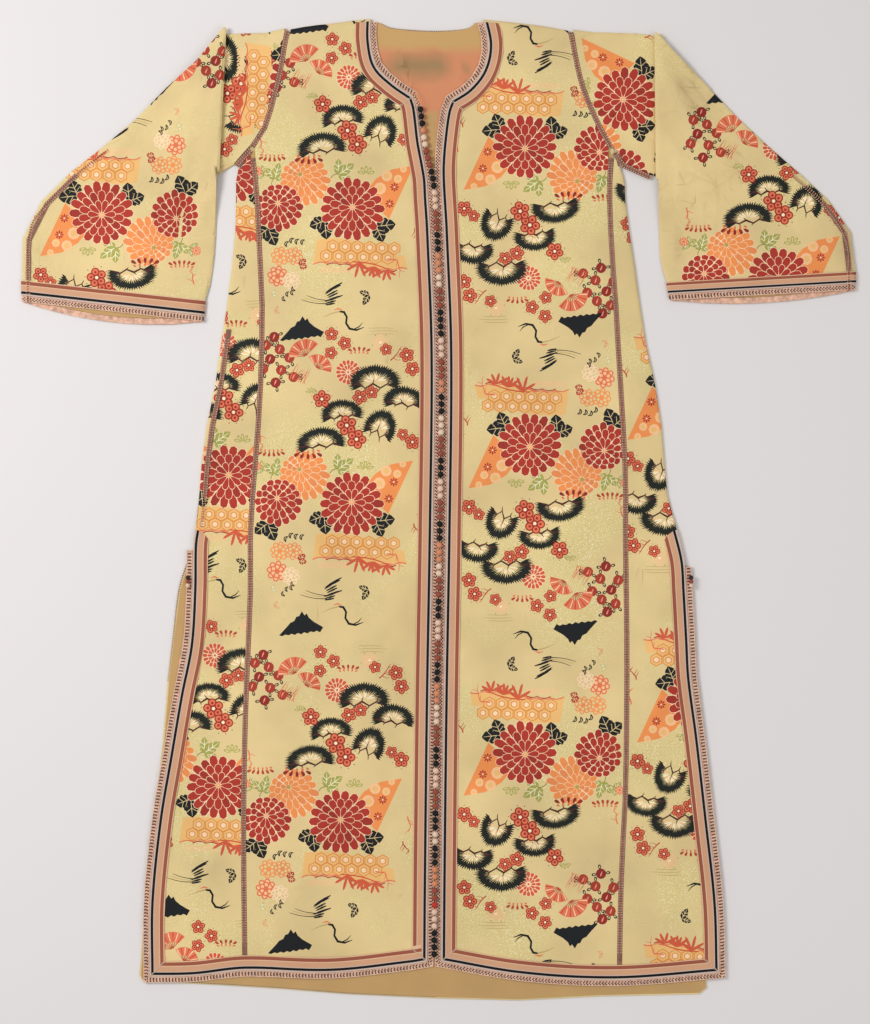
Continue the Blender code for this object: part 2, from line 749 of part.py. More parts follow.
def section_line(top, under, shares, height):
    # Centre points on a straight section, at the armhole's spacing and close to both folds.
    length = (under - top).length
    edge = TUBE_EDGE / length
    stops = [0.0, edge] + shares[1:-1] + [1.0 - edge, 1.0]
    return [Vector((*top.lerp(under, stop), height)) for stop in stops]


def armhole_section(side):
    outer = offset_path(armhole_line(side), (LADDER_WIDTH + 2 * SEAM_GAP) * side["outward"])
    lengths = [0.0]
    for start, end in zip(outer, outer[1:]):
        lengths.append(lengths[-1] + (end - start).length)
    shares = [length / lengths[-1] for length in lengths]
    near_top = outer[0] + (outer[1] - outer[0]).normalized() * TUBE_EDGE
    near_under = outer[-1] + (outer[-2] - outer[-1]).normalized() * TUBE_EDGE
    plan = [outer[0], near_top] + outer[1:-1] + [near_under, outer[-1]]
    points = [Vector((p.x, p.y, TUBE_ARMHOLE / 2)) for p in plan]
    return Section(points, Vector((0, 0, 1)), TUBE_ARMHOLE), shares


def fold_turn(top, under, shares, outward_turn, start_height):
    # Sections round a fold: away from the body and up, or toward it and up.
    radius = PLEAT_PITCH / 2
    along = (under - top).normalized()
    away = Vector((-along.y, along.x))
    if away.x * outward_turn < 0:
        away = -away
    sections = []
    setback = away * (radius + TUBE_PLEAT / 2)
    face = 1.0 if start_height < PLEAT_PITCH else -1.0
    for step in range(PLEAT_TURN_STEPS + 1):
        angle = math.pi * step / PLEAT_TURN_STEPS
        shift = away * (radius * math.sin(angle)) - setback
        height = start_height + radius * (1 - math.cos(angle))
        across = away * (-face * math.sin(angle))
        normal = Vector((across.x, across.y, face * math.cos(angle)))
        line = section_line(top + shift, under + shift, shares, height)
        sections.append(Section(line, normal, TUBE_PLEAT))
    return sections


def smooth_step(value):
    value = max(0.0, min(1.0, value))
    return value * value * (3 - 2 * value)


def pleat_share(point, corners):
    # 1 over the pleat and falling to 0 where the sleeve lies on the surface again.
    inside = True
    nearest = math.inf
    turn = 0.0
    for start, end in zip(corners, corners[1:] + corners[:1]):
        cross = (end - start).cross(point - start)
        if turn * cross < 0:
            inside = False
        turn = turn or cross
        nearest = min(nearest, distance_to_line(point, start, end))
    if inside:
        return 1.0
    return smooth_step(1.0 - (nearest - PLEAT_SLOPE_START) / PLEAT_SLOPE_LENGTH)


def sleeve_sections(side):
    outward = side["outward"]
    first, shares = armhole_section(side)
    sections = [first]
    base = TUBE_PLEAT / 2
    up = Vector((0, 0, 1))
    for top_x, top_y, under_x, under_y in side["sleeve_head"]:
        line = section_line(Vector((top_x, top_y)), Vector((under_x, under_y)), shares, base)
        sections.append(Section(line, up, TUBE_PLEAT))
    hidden = side["pleat_under"]
    crease = side["crease"]
    hidden_top, hidden_under = Vector(hidden[:2]), Vector(hidden[2:])
    crease_top, crease_under = Vector(crease[:2]), Vector(crease[2:])
    sections += fold_turn(hidden_top, hidden_under, shares, outward, base)
    sections += fold_turn(crease_top, crease_under, shares, -outward, base + PLEAT_PITCH)
    corners = [crease_top, hidden_top, hidden_under, crease_under]
    top_line = Curve(side["sleeve_top"])
    under_line = Curve(side["sleeve_under"])
    for k in range(1, SLEEVE_SECTIONS + 1):
        share = k / SLEEVE_SECTIONS
        cuff = smooth_step((share - CUFF_RISE_FROM) / (1 - CUFF_RISE_FROM))
        thickness = TUBE_PLEAT + (TUBE_CUFF - TUBE_PLEAT) * cuff
        floor_height = thickness / 2 + (BAND_CLOTH + SEAM_GAP) * cuff
        line = section_line(top_line.at(share), under_line.at(share), shares, floor_height)
        for point in line:
            point.z += 2 * PLEAT_PITCH * pleat_share(point.xy, corners)
        reach = tuple(value * cuff for value in side["back_reach"])
        sections.append(Section(line, up, thickness, reach))
    sections.append(cuff_section(side, shares, 0.0))
    return sections, shares


def cuff_section(side, shares, beyond):
    # The section at the cuff edge, or further along the sleeve past it.
    cuff = side["cuff"]
    top, under = Vector(cuff[:2]), Vector(cuff[2:])
    band_top = Curve(side["sleeve_top"]).at(1.0)
    band_under = Curve(side["sleeve_under"]).at(1.0)
    top += (top - band_top).normalized() * beyond
    under += (under - band_under).normalized() * beyond
    height = TUBE_CUFF / 2 + BAND_CLOTH + SEAM_GAP
    line = section_line(top, under, shares, height)
    return Section(line, Vector((0, 0, 1)), TUBE_CUFF, side["back_reach"])


def make_sleeve(side):
    name = side["name"]
    sections, shares = sleeve_sections(side)
    tube_wall(f"sleeve_{name}", [section.ring(0.0) for section in sections],
              [section.ring(-SLEEVE_CLOTH) for section in sections], "brocade")

    band = sections[-2:]
    tube_wall(f"cuff_band_{name}", [section.ring(SEAM_GAP + BAND_CLOTH) for section in band],
              [section.ring(SEAM_GAP) for section in band], "band")

    lace = [cuff_section(side, shares, beyond) for beyond in (SEAM_GAP, SEAM_GAP + EDGING_WIDTH)]
    tube_wall(f"cuff_edging_{name}", [section.ring(EDGING_LIFT) for section in lace],
              [section.ring(EDGING_LIFT - EDGING_CLOTH) for section in lace], "lace")

    tops = []
    undersides = []
    for section in sections[-LINING_DEPTH_SECTIONS:]:
        height = section.thickness / 2 - SLEEVE_CLOTH - SEAM_GAP
        inner = [section.back_point(i) for i in range(2, len(section.points) - 2)]
        undersides.append([(p.x, p.y, p.z - height) for p in inner])
        tops.append([(p.x, p.y, p.z - height + LINING_CLOTH) for p in inner])
    grid_wall(f"sleeve_lining_{name}", tops, undersides, "lining")

    tops = []
    undersides = []
    for section in sections[-2 - side["sleeve_seam_sections"]:-1]:
        along = (section.points[-1] - section.points[0]).normalized()
        lift = Vector((0, 0, section.thickness / 2 + SEAM_GAP))
        plan = [section.points[0] + along * (SLEEVE_SEAM_INSET + LADDER_WIDTH * part)
                for part in (0.0, 0.5, 1.0)]
        undersides.append([p + lift for p in plan])
        tops.append([p + lift + Vector((0, 0, BAND_CLOTH + crown))
                     for p, crown in zip(plan, (0.0, LADDER_CROWN, 0.0))])
    last = len(tops) - 1
    for row in (tops, undersides):
        row[last] = [point + Vector((0, SEAM_GAP + BAND_CLOTH, 0)) for point in row[last]]
    grid_wall(f"sleeve_seam_{name}", tops, undersides, "ladder")


def bead_string(name, path, pitch, radius, height_radius, bottom, colour):
    # Knot buttons side by side, joined by the thread that they are worked on.
    line = Curve(path, steps=6)
    count = round(line.lengths[-1] / pitch)
    step = 1.0 / count
    rings = []
    for bead in range(count):
        for place, share in BEAD_RINGS:
            rings.append(((bead + place) * step, share))
    rings.append((1.0, BEAD_NECK_SHARE))
    middle = bottom + height_radius
    points = []
    for place, share in rings:
        centre = line.at(place)
        ahead = line.at(min(place + step / 4, 1.0)) - line.at(max(place - step / 4, 0.0))
        across = Vector((-ahead.y, ahead.x)).normalized()
        for side_index in range(BUTTON_SIDES):
            angle = 2 * math.pi * side_index / BUTTON_SIDES
            plan = centre + across * (radius * share * math.cos(angle))
            points.append((plan.x, plan.y, middle + height_radius * share * math.sin(angle)))
    faces = []
    for r in range(len(rings) - 1):
        for i in range(BUTTON_SIDES):
            j = (i + 1) % BUTTON_SIDES
            start = r * BUTTON_SIDES
            faces.append((start + i, start + j, start + BUTTON_SIDES + j, start + BUTTON_SIDES + i))
    faces.append(tuple(range(BUTTON_SIDES)))
    faces.append(tuple(range(len(points) - BUTTON_SIDES, len(points))))
    return add_solid(name, points, faces, colour)


def make_buttons():
    # One row, on the left front's lace at the neck and over the meeting laces below it.
    front = Curve(LEFT["front"])
    bottom = FRONT_LEVEL + EDGING_LIFT + EDGING_CLOTH + SEAM_GAP
    path = []
    for y in BUTTON_STATIONS:
        share = smooth_step((NECK_SLIT_TOP - y) / (NECK_SLIT_TOP - NECK_SLIT_FOOT))
        away = BUTTON_FROM_EDGE_AT_NECK + (OPENING_WIDTH / 2 - BUTTON_FROM_EDGE_AT_NECK) * share
        path.append((front.at_y(y).x + away, y))
    bead_string("button_row", path, BUTTON_PITCH, BUTTON_RADIUS, BUTTON_HEIGHT_RADIUS, bottom, "knots")


def make_slit_knots(side):
    # Three small knots where the slit starts, on the lace.
    edge = Curve(side["slit"]).at_y(SLIT_KNOT_Y)
    outward = side["outward"]
    bottom = FRONT_LEVEL + EDGING_LIFT + EDGING_CLOTH + SEAM_GAP
    path = [(edge.x + outward * from_edge, edge.y + up) for from_edge, up in SLIT_KNOTS]
    bead_string(f"slit_knot_{side['name']}", path, SLIT_KNOT_PITCH, SLIT_KNOT_RADIUS,
                SLIT_KNOT_RADIUS, bottom, "lace")


def main():
    for old in list(bpy.data.objects):
        bpy.data.objects.remove(old, do_unlink=True)
    make_back()
    for side in SIDES:
        make_front_panel(side)
        make_side_gore(side)
        make_bands(side)
        make_edging(side)
        make_ladder_seams(side)
        make_sleeve(side)
        make_slit_knots(side)
    make_side_seam(LEFT)
    make_buttons()


main()
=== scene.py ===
import cmath
import math
import random

import bmesh
import bpy
import numpy as np
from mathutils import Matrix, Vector
from mathutils.bvhtree import BVHTree
from mathutils.geometry import delaunay_2d_cdt


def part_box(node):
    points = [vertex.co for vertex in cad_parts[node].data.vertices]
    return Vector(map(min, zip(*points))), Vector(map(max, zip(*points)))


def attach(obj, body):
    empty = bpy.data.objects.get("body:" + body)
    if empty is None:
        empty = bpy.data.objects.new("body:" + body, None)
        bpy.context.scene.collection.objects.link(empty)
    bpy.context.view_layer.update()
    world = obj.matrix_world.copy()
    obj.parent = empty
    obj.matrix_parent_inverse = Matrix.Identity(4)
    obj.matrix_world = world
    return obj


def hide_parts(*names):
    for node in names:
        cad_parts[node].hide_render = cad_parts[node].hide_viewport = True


# A long flowered kaftan of gold brocade, laid out flat. Left and right are sides of the view.
# Plan sizes are in millimetres until a mesh is made. Motifs are drawn in complex numbers, x + y i.
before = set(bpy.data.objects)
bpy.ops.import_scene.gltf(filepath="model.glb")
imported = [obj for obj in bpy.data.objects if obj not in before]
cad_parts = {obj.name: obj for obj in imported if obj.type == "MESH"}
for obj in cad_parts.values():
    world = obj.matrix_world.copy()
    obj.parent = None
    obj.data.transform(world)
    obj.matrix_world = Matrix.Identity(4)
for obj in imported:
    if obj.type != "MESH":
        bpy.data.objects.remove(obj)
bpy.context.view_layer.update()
mm = 0.001


# Colour, node and mesh helpers


def linearColour(hexText):
    channels = [int(hexText[i:i + 2], 16) / 255 for i in (1, 3, 5)]
    return tuple(c / 12.92 if c <= 0.04045 else ((c + 0.055) / 1.055) ** 2.4 for c in channels) + (1.0,)


def addNode(tree, kind, links=None, **settings):
    node = tree.nodes.new(kind)
    for name, value in settings.items():
        setattr(node, name, value)
    for socket, source in (links or {}).items():
        if isinstance(source, bpy.types.NodeSocket):
            tree.links.new(source, node.inputs[socket])
        else:
            node.inputs[socket].default_value = source
    return node


def startMaterial(name, **sockets):
    material = bpy.data.materials.new(name)
    material.use_nodes = True
    tree = material.node_tree
    shader = tree.nodes["Principled BSDF"]
    for socket, value in sockets.items():
        shader.inputs[socket.replace("_", " ")].default_value = value
    return material, tree, shader


def smoothStep(value):
    value = np.clip(value, 0.0, 1.0)
    return value * value * (3 - 2 * value)


def meshPiece(name, points, faces, materials, faceMaterials=None, colours=None, sharpAngle=45.0):
    mesh = bpy.data.meshes.new(name)
    mesh.from_pydata([tuple(p) for p in np.asarray(points) * mm], [], faces)
    for material in materials:
        mesh.materials.append(material)
    if faceMaterials is not None:
        mesh.polygons.foreach_set("material_index", faceMaterials)
    if colours is not None:
        paint = mesh.attributes.new("threadColour", "FLOAT_COLOR", "CORNER")
        loopTotals = np.zeros(len(mesh.polygons), dtype=np.int32)
        mesh.polygons.foreach_get("loop_total", loopTotals)
        perCorner = np.repeat(np.asarray(colours, dtype=np.float32), loopTotals, axis=0)
        paint.data.foreach_set("color", perCorner.ravel())
    mesh.update()
    mesh.shade_smooth()
    mesh.set_sharp_from_angle(angle=math.radians(sharpAngle))
    piece = bpy.data.objects.new(name, mesh)
    bpy.context.scene.collection.objects.link(piece)
    return piece


def halfArea(piece):
    areas = np.zeros(len(piece.data.polygons))
    piece.data.polygons.foreach_get("area", areas)
    return round(float(areas.sum()) / 2, 4)


def finishPiece(piece, slotName, *nodes):
    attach(piece, "root")
    if nodes:
        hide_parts(*nodes)
    print("made", piece.name, len(piece.data.polygons), "faces, half area", halfArea(piece), "m2")
    return piece


# Lines of the garment, as it was drafted: tables of x and y from the neck down or outward


class Line:
    def __init__(self, points, steps=10):
        knots = [Vector(point) for point in points]
        last = len(knots) - 1
        slopes = []
        for i in range(last + 1):
            run = knots[min(i + 1, last)] - knots[max(i - 1, 0)]
            slopes.append(run / max(run.length, 1e-6))
        samples = []
        for i in range(last):
            span = (knots[i + 1] - knots[i]).length
            for step in range(steps):
                t = step / steps
                point = knots[i] * (2 * t**3 - 3 * t**2 + 1) + knots[i + 1] * (3 * t**2 - 2 * t**3)
                samples.append(point + (slopes[i] * (t**3 - 2 * t**2 + t)
                                        + slopes[i + 1] * (t**3 - t**2)) * span)
        samples.append(knots[-1])
        self.samples = samples
        self.lengths = [0.0]
        for start, end in zip(samples, samples[1:]):
            self.lengths.append(self.lengths[-1] + (end - start).length)

    def at(self, share):
        wanted = share * self.lengths[-1]
        for i in range(len(self.samples) - 1):
            if self.lengths[i + 1] >= wanted:
                part = (wanted - self.lengths[i]) / (self.lengths[i + 1] - self.lengths[i])
                return self.samples[i].lerp(self.samples[i + 1], part)
        return self.samples[-1].copy()

    def crossing(self, axis, value):
        for start, end in zip(self.samples, self.samples[1:]):
            low, high = sorted((start[axis], end[axis]))
            if low <= value <= high and high > low:
                return start.lerp(end, (value - start[axis]) / (end[axis] - start[axis]))
        return min(self.samples, key=lambda sample: abs(sample[axis] - value)).copy()


def offsetPath(path, distance):
    moved = []
    for i, point in enumerate(path):
        arriving = (point - path[i - 1]).normalized() if i > 0 else None
        leaving = (path[i + 1] - point).normalized() if i < len(path) - 1 else None
        arriving = arriving or leaving
        leaving = leaving or arriving
        normal = (Vector((-arriving.y, arriving.x)) + Vector((-leaving.y, leaving.x))).normalized()
        moved.append(point + normal * (distance / normal.dot(Vector((-arriving.y, arriving.x)))))
    return moved


def evenPath(points, spacing):
    # The same line with its points spaced evenly, corners kept by the caller.
    lengths = [0.0]
    for start, end in zip(points, points[1:]):
        lengths.append(lengths[-1] + (end - start).length)
    count = max(1, round(lengths[-1] / spacing))
    result = []
    i = 0
    for k in range(count + 1):
        wanted = lengths[-1] * k / count
        while i < len(lengths) - 2 and lengths[i + 1] < wanted:
            i += 1
        part = (wanted - lengths[i]) / max(lengths[i + 1] - lengths[i], 1e-9)
        result.append(points[i].lerp(points[i + 1], min(part, 1.0)))
    return result


cloth = {
    "shift": (0.5, 1.0),
    "gap": 0.3,
    "frontLevel": 3.1,
    "bandWidth": 22.0,
    "edgingWall": 1.4,
    "edgingLift": 0.2,
    "ladderWidth": 7.0,
    "swells": [
        # x start, y start, x end, y end, half width, height
        (-190, 330, -150, -300, 62, 1.8),
        (150, 300, 170, -330, 66, 2.2),
        (-205, -560, -215, -720, 46, 1.5),
        (160, -560, 150, -720, 52, 1.9),
        (-330, -330, -350, -560, 24, 1.0),
        (322, -260, 340, -540, 26, 1.2),
    ],
}

leftSide = {
    "node": "left",
    "outward": -1,
    "neck": [(-99, 710), (-99, 676), (-91, 642), (-68, 618), (-38, 597)],
    "front": [(-38, 597), (-33, 580), (-27, 531), (-21, 499), (-17.4, 477), (-15.9, 450),
              (-13, 405), (-6.4, 225), (-9, -36), (-13, -268), (-16, -529), (-17, -655)],
    "hem": [(-17, -655), (-41, -659), (-154, -671), (-281, -668), (-355, -676), (-419, -677)],
    "slit": [(-352, -25), (-356, -52), (-357, -117), (-362, -197), (-376, -268),
             (-392, -361), (-407, -450), (-419, -570), (-419, -677)],
    "slitLaceTop": -60,
    "side": [(-290, 494), (-294, 477), (-294, 434), (-297, 376), (-306, 303), (-315, 245),
             (-323, 187), (-335, 129), (-342, 86), (-348, 13), (-352, -25)],
    "seam": [(-270, 513), (-264, 457), (-260, 376), (-256, 296), (-257, 225), (-260, 145),
             (-268, 44), (-273, -36), (-273, -117), (-280, -289), (-283, -450), (-281, -670)],
    "armhole": [(-215, 691), (-220, 671), (-225, 639), (-235, 597), (-242, 571),
                (-252, 544), (-268, 522)],
    "underarm": [(-276.3, 521.7), (-296.4, 499.6)],
    "sleeveTop": [(-311, 696), (-339, 660), (-397, 608), (-455, 550), (-529, 492),
                  (-574, 448), (-596, 419), (-603, 390), (-604, 361), (-604, 331)],
    "sleeveUnder": [(-321, 487), (-322, 448), (-325, 376), (-331, 330), (-339, 302)],
    "cuff": (-604, 309, -341, 280),
    "sleeveSeamFrom": 0.5,
}
rightSide = {
    "node": "right",
    "outward": 1,
    "neck": [(64, 709), (71, 671), (64, 637), (44, 610), (17, 592)],
    "front": [(17, 592), (11, 575), (5, 531), (2.6, 499), (2.6, 477), (4, 450),
              (6.7, 405), (13.3, 225), (10.7, -36), (6.7, -268), (3.7, -529), (2.7, -655)],
    "hem": [(2.7, -655), (115, -674), (255, -682), (406, -671)],
    "slit": [(343, -25), (355, -74), (358, -117), (362, -190), (365, -245), (376, -328),
             (390, -450), (403, -570), (406, -671)],
    "slitLaceTop": -84,
    "side": [(263.5, 494), (268.5, 480), (271, 434), (280, 376), (290, 303), (304, 216),
             (318, 158), (325, 86), (331, 20), (343, -25)],
    "seam": [(249, 513), (247, 457), (250, 376), (256, 296), (260, 225), (265, 145),
             (270, 44), (270, -36), (272, -218), (270, -409), (264, -529), (261, -670)],
    "armhole": [(187, 689), (194, 654), (203, 615), (216, 580), (231, 548), (246, 522)],
    "underarm": [(257, 517.5), (270, 500.2), (307, 483.7)],
    "sleeveTop": [(315, 688), (336, 666), (393, 608), (450, 550), (516, 492), (564, 448),
                  (592, 410), (602, 382), (604, 362), (603, 344)],
    "sleeveUnder": [(317, 477), (319, 405), (321, 361), (326, 340), (330, 328)],
    "cuff": (603, 326, 333, 311),
    "sleeveSeamFrom": 0.62,
}
sides = [leftSide, rightSide]
for side in sides:
    for key, value in list(side.items()):
        if isinstance(value, list):
            side[key] = [(x + cloth["shift"][0], y + cloth["shift"][1]) for x, y in value]
    side["cuff"] = [v + cloth["shift"][i % 2] for i, v in enumerate(side["cuff"])]
    side["slitLaceTop"] += cloth["shift"][1]


# Creases of the cloth, as soft ridges and troughs along short lines, each a little uneven


creases = {
    "front": [
        # x start, y start, x end, y end, half width, height
        (-245, 500, -120, 470, 16, 1.1),
        (-250, 470, -150, 400, 14, 0.9),
        (-235, -140, -120, -150, 9, 1.1),
        (-215, -162, -90, -156, 7, -0.7),
        (-60, 330, -40, 120, 13, 0.9),
        (-230, 120, -100, 60, 15, 0.9),
        (-90, -330, -60, -560, 14, 1.0),
        (-180, -420, -200, -640, 15, 1.3),
        (60, 330, 95, 60, 16, 1.1),
        (200, 470, 90, 440, 15, 0.9),
        (230, 330, 120, 250, 13, 0.9),
        (60, -135, 250, -150, 9, 1.0),
        (70, -160, 240, -172, 8, -0.7),
        (90, -330, 60, -600, 15, 1.2),
        (210, -400, 225, -650, 14, 1.1),
        (275, -78, 335, -84, 4, 1.5),
        (272, -88, 338, -94, 4, -0.8),
        (-300, 260, -285, 60, 9, 0.8),
        (-320, -60, -300, -230, 10, 0.8),
        (290, 160, 300, -40, 10, 0.9),
        (300, -200, 330, -420, 12, 1.0),
        (-330, -380, -375, -640, 12, 1.2),
        (345, -420, 360, -640, 12, 1.2),
        (-150, 650, -200, 560, 11, 0.9),
        (110, 650, 160, 560, 12, 0.8),
        (-60, 560, -110, 500, 12, 0.8),
        (40, 520, 80, 440, 12, 0.8),
    ],
    "sleeve": [
        (-318, 660, -470, 470, 12, 2.4),
        (-316, 600, -400, 440, 10, 1.6),
        (-330, 640, -360, 560, 8, -1.2),
        (-325, 520, -345, 380, 8, 2.0),
        (-340, 500, -366, 340, 6, -1.2),
        (-440, 540, -560, 400, 12, 1.4),
        (-600, 360, -500, 380, 11, 1.0),
        (-460, 330, -380, 310, 9, 1.1),
        (-260, 660, -300, 560, 9, 1.2),
        (-262, 560, -300, 505, 9, 1.6),
        (-285, 560, -300, 500, 6, -0.9),
        (322, 640, 470, 480, 13, 2.4),
        (320, 590, 400, 440, 10, 1.6),
        (335, 640, 370, 540, 8, -1.2),
        (330, 500, 352, 350, 9, 2.2),
        (350, 480, 372, 350, 6, -1.2),
        (450, 520, 560, 400, 12, 1.2),
        (590, 380, 500, 400, 11, 1.0),
        (470, 345, 390, 350, 9, 1.0),
        (235, 660, 285, 580, 10, 1.3),
        (250, 570, 300, 520, 9, 1.5),
    ],
    "lining": [
        (-55, 663, -12, 586, 3.0, 3.6),
        (-12, 586, 8, 480, 4.0, 1.6),
        (30, 640, 18, 585, 3.0, 1.8),
        (18, 585, 6, 500, 3.0, 0.8),
        (-4, 648, -12, 628, 3.0, 0.7),
        (60, -660, 70, -700, 5, 0.8),
        (-60, -668, -50, -705, 4, 0.8),
        (-160, -675, -170, -700, 4, 0.7),
        (190, -684, 180, -708, 5, 0.8),
        (330, -690, 340, -705, 5, 0.7),
        (-395, -250, -402, -360, 4, 0.8),
    ],
}


def creaseRelief(x, y, rows):
    relief = np.zeros_like(x)
    for i, (x0, y0, x1, y1, halfWidth, height) in enumerate(rows):
        length = math.hypot(x1 - x0, y1 - y0)
        along = ((x - x0) * (x1 - x0) + (y - y0) * (y1 - y0)) / length**2
        across = ((x - x0) * (y1 - y0) - (y - y0) * (x1 - x0)) / length
        bend = 0.12 * length * np.sin(2.2 * along + i * 1.7)   # no crease is quite straight
        taper = smoothStep((along + 0.25) / 0.45) * smoothStep((1.25 - along) / 0.45)
        uneven = 0.8 + 0.2 * np.sin(9.0 * along + i * 2.3)
        spread = halfWidth * (0.8 + 0.4 * along)
        relief += height * uneven * taper * np.exp(-((across - bend) / spread) ** 2)
    return relief


def swellLevel(x, y):
    level = np.full_like(x, cloth["frontLevel"])
    for x0, y0, x1, y1, halfWidth, height in cloth["swells"]:
        x0, x1 = x0 + cloth["shift"][0], x1 + cloth["shift"][0]
        y0, y1 = y0 + cloth["shift"][1], y1 + cloth["shift"][1]
        share = ((x - x0) * (x1 - x0) + (y - y0) * (y1 - y0)) / ((x1 - x0)**2 + (y1 - y0)**2)
        share = np.clip(share, 0, 1)
        away = np.hypot(x - x0 - share * (x1 - x0), y - y0 - share * (y1 - y0))
        level += height * np.exp(-((away / halfWidth) ** 2))
    return level


def frontHeight(points):
    # Height of the underside of the front cloth, creases included, over plan points.
    x = np.array([p[0] for p in points], dtype=float)
    y = np.array([p[1] for p in points], dtype=float)
    return swellLevel(x, y) + creaseRelief(x, y, creases["front"])


# Motifs of the brocade, each a list of outline and colour, drawn round its own middle


silks = {
    "ground": "#DDC48D",
    "red": "#AC3428",
    "redShade": "#9C3025",
    "orangeShade": "#E48A52",
    "coralDeep": "#CE5A3C",
    "branch": "#4E2420",
    "deepRed": "#8E2A24",
    "orange": "#EC9050",
    "paleOrange": "#F3BE8C",
    "outline": "#F7D3AC",
    "black": "#15171B",
    "pineGreen": "#191E17",
    "olive": "#A4A252",
    "oliveDark": "#7F7A3C",
    "coral": "#DE7350",
    "plum": "#B4442F",
    "plumPale": "#EE9A78",
    "cream": "#F2E6C0",
    "goldBand": "#EAB873",
    "goldLine": "#D98A45",
    "fruit": "#A53B2C",
    "tan": "#BFA468",
}


def turned(shapes, x=0.0, y=0.0, angle=0.0, size=1.0):
    turn = cmath.rect(size, math.radians(angle))
    shift = complex(x, y)
    return [([point * turn + shift for point in outline], colour) for outline, colour in shapes]


def disc(centre, radius, sides=14):
    return [centre + radius * complex(math.cos(a), math.sin(a))
            for a in (2 * math.pi * k / sides for k in range(sides))]


def petal(base, tip, width, fullness=0.6, steps=10):
    # A drop from its base to its rounded tip, fullest towards the tip.
    along = tip - base
    across = along / abs(along) * 1j
    outline = []
    for k in range(steps):
        angle = 2 * math.pi * k / steps
        share = (1 - math.cos(angle)) / 2
        fuller = 1 - fullness + fullness * 1.3 * share
        outline.append(base + along * share + across * width / 2 * math.sin(angle) * fuller)
    return outline


def stroke(points, widths):
    # A line of changing width, as one closed outline.
    left = []
    right = []
    for i, point in enumerate(points):
        run = points[min(i + 1, len(points) - 1)] - points[max(i - 1, 0)]
        across = run / abs(run) * 1j * widths[i] / 2
        left.append(point + across)
        right.append(point - across)
    return left + right[::-1]


def bentLine(start, end, bow, count=7):
    run = end - start
    return [start + run * t + run * 1j * bow * math.sin(math.pi * t)
            for t in (k / (count - 1) for k in range(count))]


def chrysanthemum(radius, rings, petalColour, lineColour="outline", heartColour="paleOrange",
                  lean=(0.0, 0.0)):
    # Long petals in overlapping rings, each edged with a pale line.
    heart = complex(*lean) * radius
    shapes = [(disc(0, radius * 0.86, 26), lineColour)]
    line = 0.5 + radius * 0.005
    for ring, (petals, inner, outer) in enumerate(rings):
        for k in range(petals):
            way = cmath.exp(2j * math.pi * (k + 0.5 * (ring % 2)) / petals)
            reach = outer * (1.0 + 0.025 * math.cos(2.6 * k + ring))
            base = heart * (1 - inner * 0.6) + way * inner * radius
            tip = heart * (1 - reach) + way * reach * radius
            width = 2 * math.pi * radius * (inner * 0.3 + outer * 0.7) / petals * 1.16
            along = (tip - base) / abs(tip - base)
            shapes.append((petal(base, tip, width, 0.75), lineColour))
            shapes.append((petal(base + along * line, tip - along * line, width - 2 * line, 0.75),
                           petalColour if (k + ring) % 6 else shade(petalColour)))
    shapes.append((disc(heart, radius * 0.085, 10), heartColour))
    for k in range(5):
        shapes.append((disc(heart + radius * 0.05 * cmath.exp(2j * math.pi * k / 5), radius * 0.02, 5),
                       "goldLine"))
    return shapes


def shade(colour):
    return {"red": "redShade", "orange": "orangeShade"}.get(colour, colour)


def largeFlower(radius=47.0, colour="red"):
    return chrysanthemum(radius, [(18, 0.38, 1.0), (14, 0.2, 0.73), (10, 0.05, 0.45)], colour,
                         lean=(0.0, 0.07))


def smallFlower(radius=35.0, colour="red"):
    rings = [(16, 0.5, 1.0), (13, 0.3, 0.76), (9, 0.06, 0.48)]
    return chrysanthemum(radius, rings, colour, lean=(-0.05, 0.2))


def orangeFlower(radius=37.0):
    rings = [(17, 0.42, 1.0), (13, 0.22, 0.72), (9, 0.05, 0.42)]
    return chrysanthemum(radius, rings, "orange", heartColour="olive", lean=(-0.2, 0.28))


def buttonFlower(radius=18.0):
    return chrysanthemum(radius, [(16, 0.42, 1.0), (11, 0.14, 0.6)], "coralDeep", heartColour="plum")


def plumBlossom(radius=12.0, outer="redShade", inner="coral"):
    shapes = []
    for k in range(5):
        centre = radius * 0.58 * cmath.exp(1j * (math.pi / 2 + 2 * math.pi * k / 5))
        shapes.append((disc(centre, radius * 0.44, 11), outer))
    for k in range(5):
        centre = radius * 0.60 * cmath.exp(1j * (math.pi / 2 + 2 * math.pi * k / 5))
        shapes.append((disc(centre, radius * 0.30, 9), inner))
        shapes.append((disc(centre * 0.92, radius * 0.14, 7), outer))
    shapes.append((disc(0, radius * 0.30, 10), outer))
    shapes.append((disc(0, radius * 0.17, 8), "cream"))
    for k in range(10):
        spot = radius * 1.12 * cmath.exp(2j * math.pi * (k + 0.5) / 10)
        shapes.append((petal(spot * 0.96, spot * 1.1, radius * 0.12, steps=5), "black" if k % 2 else outer))
    return shapes


def outlinePlum(radius=11.0):
    return plumBlossom(radius, outer="paleOrange", inner="ground")


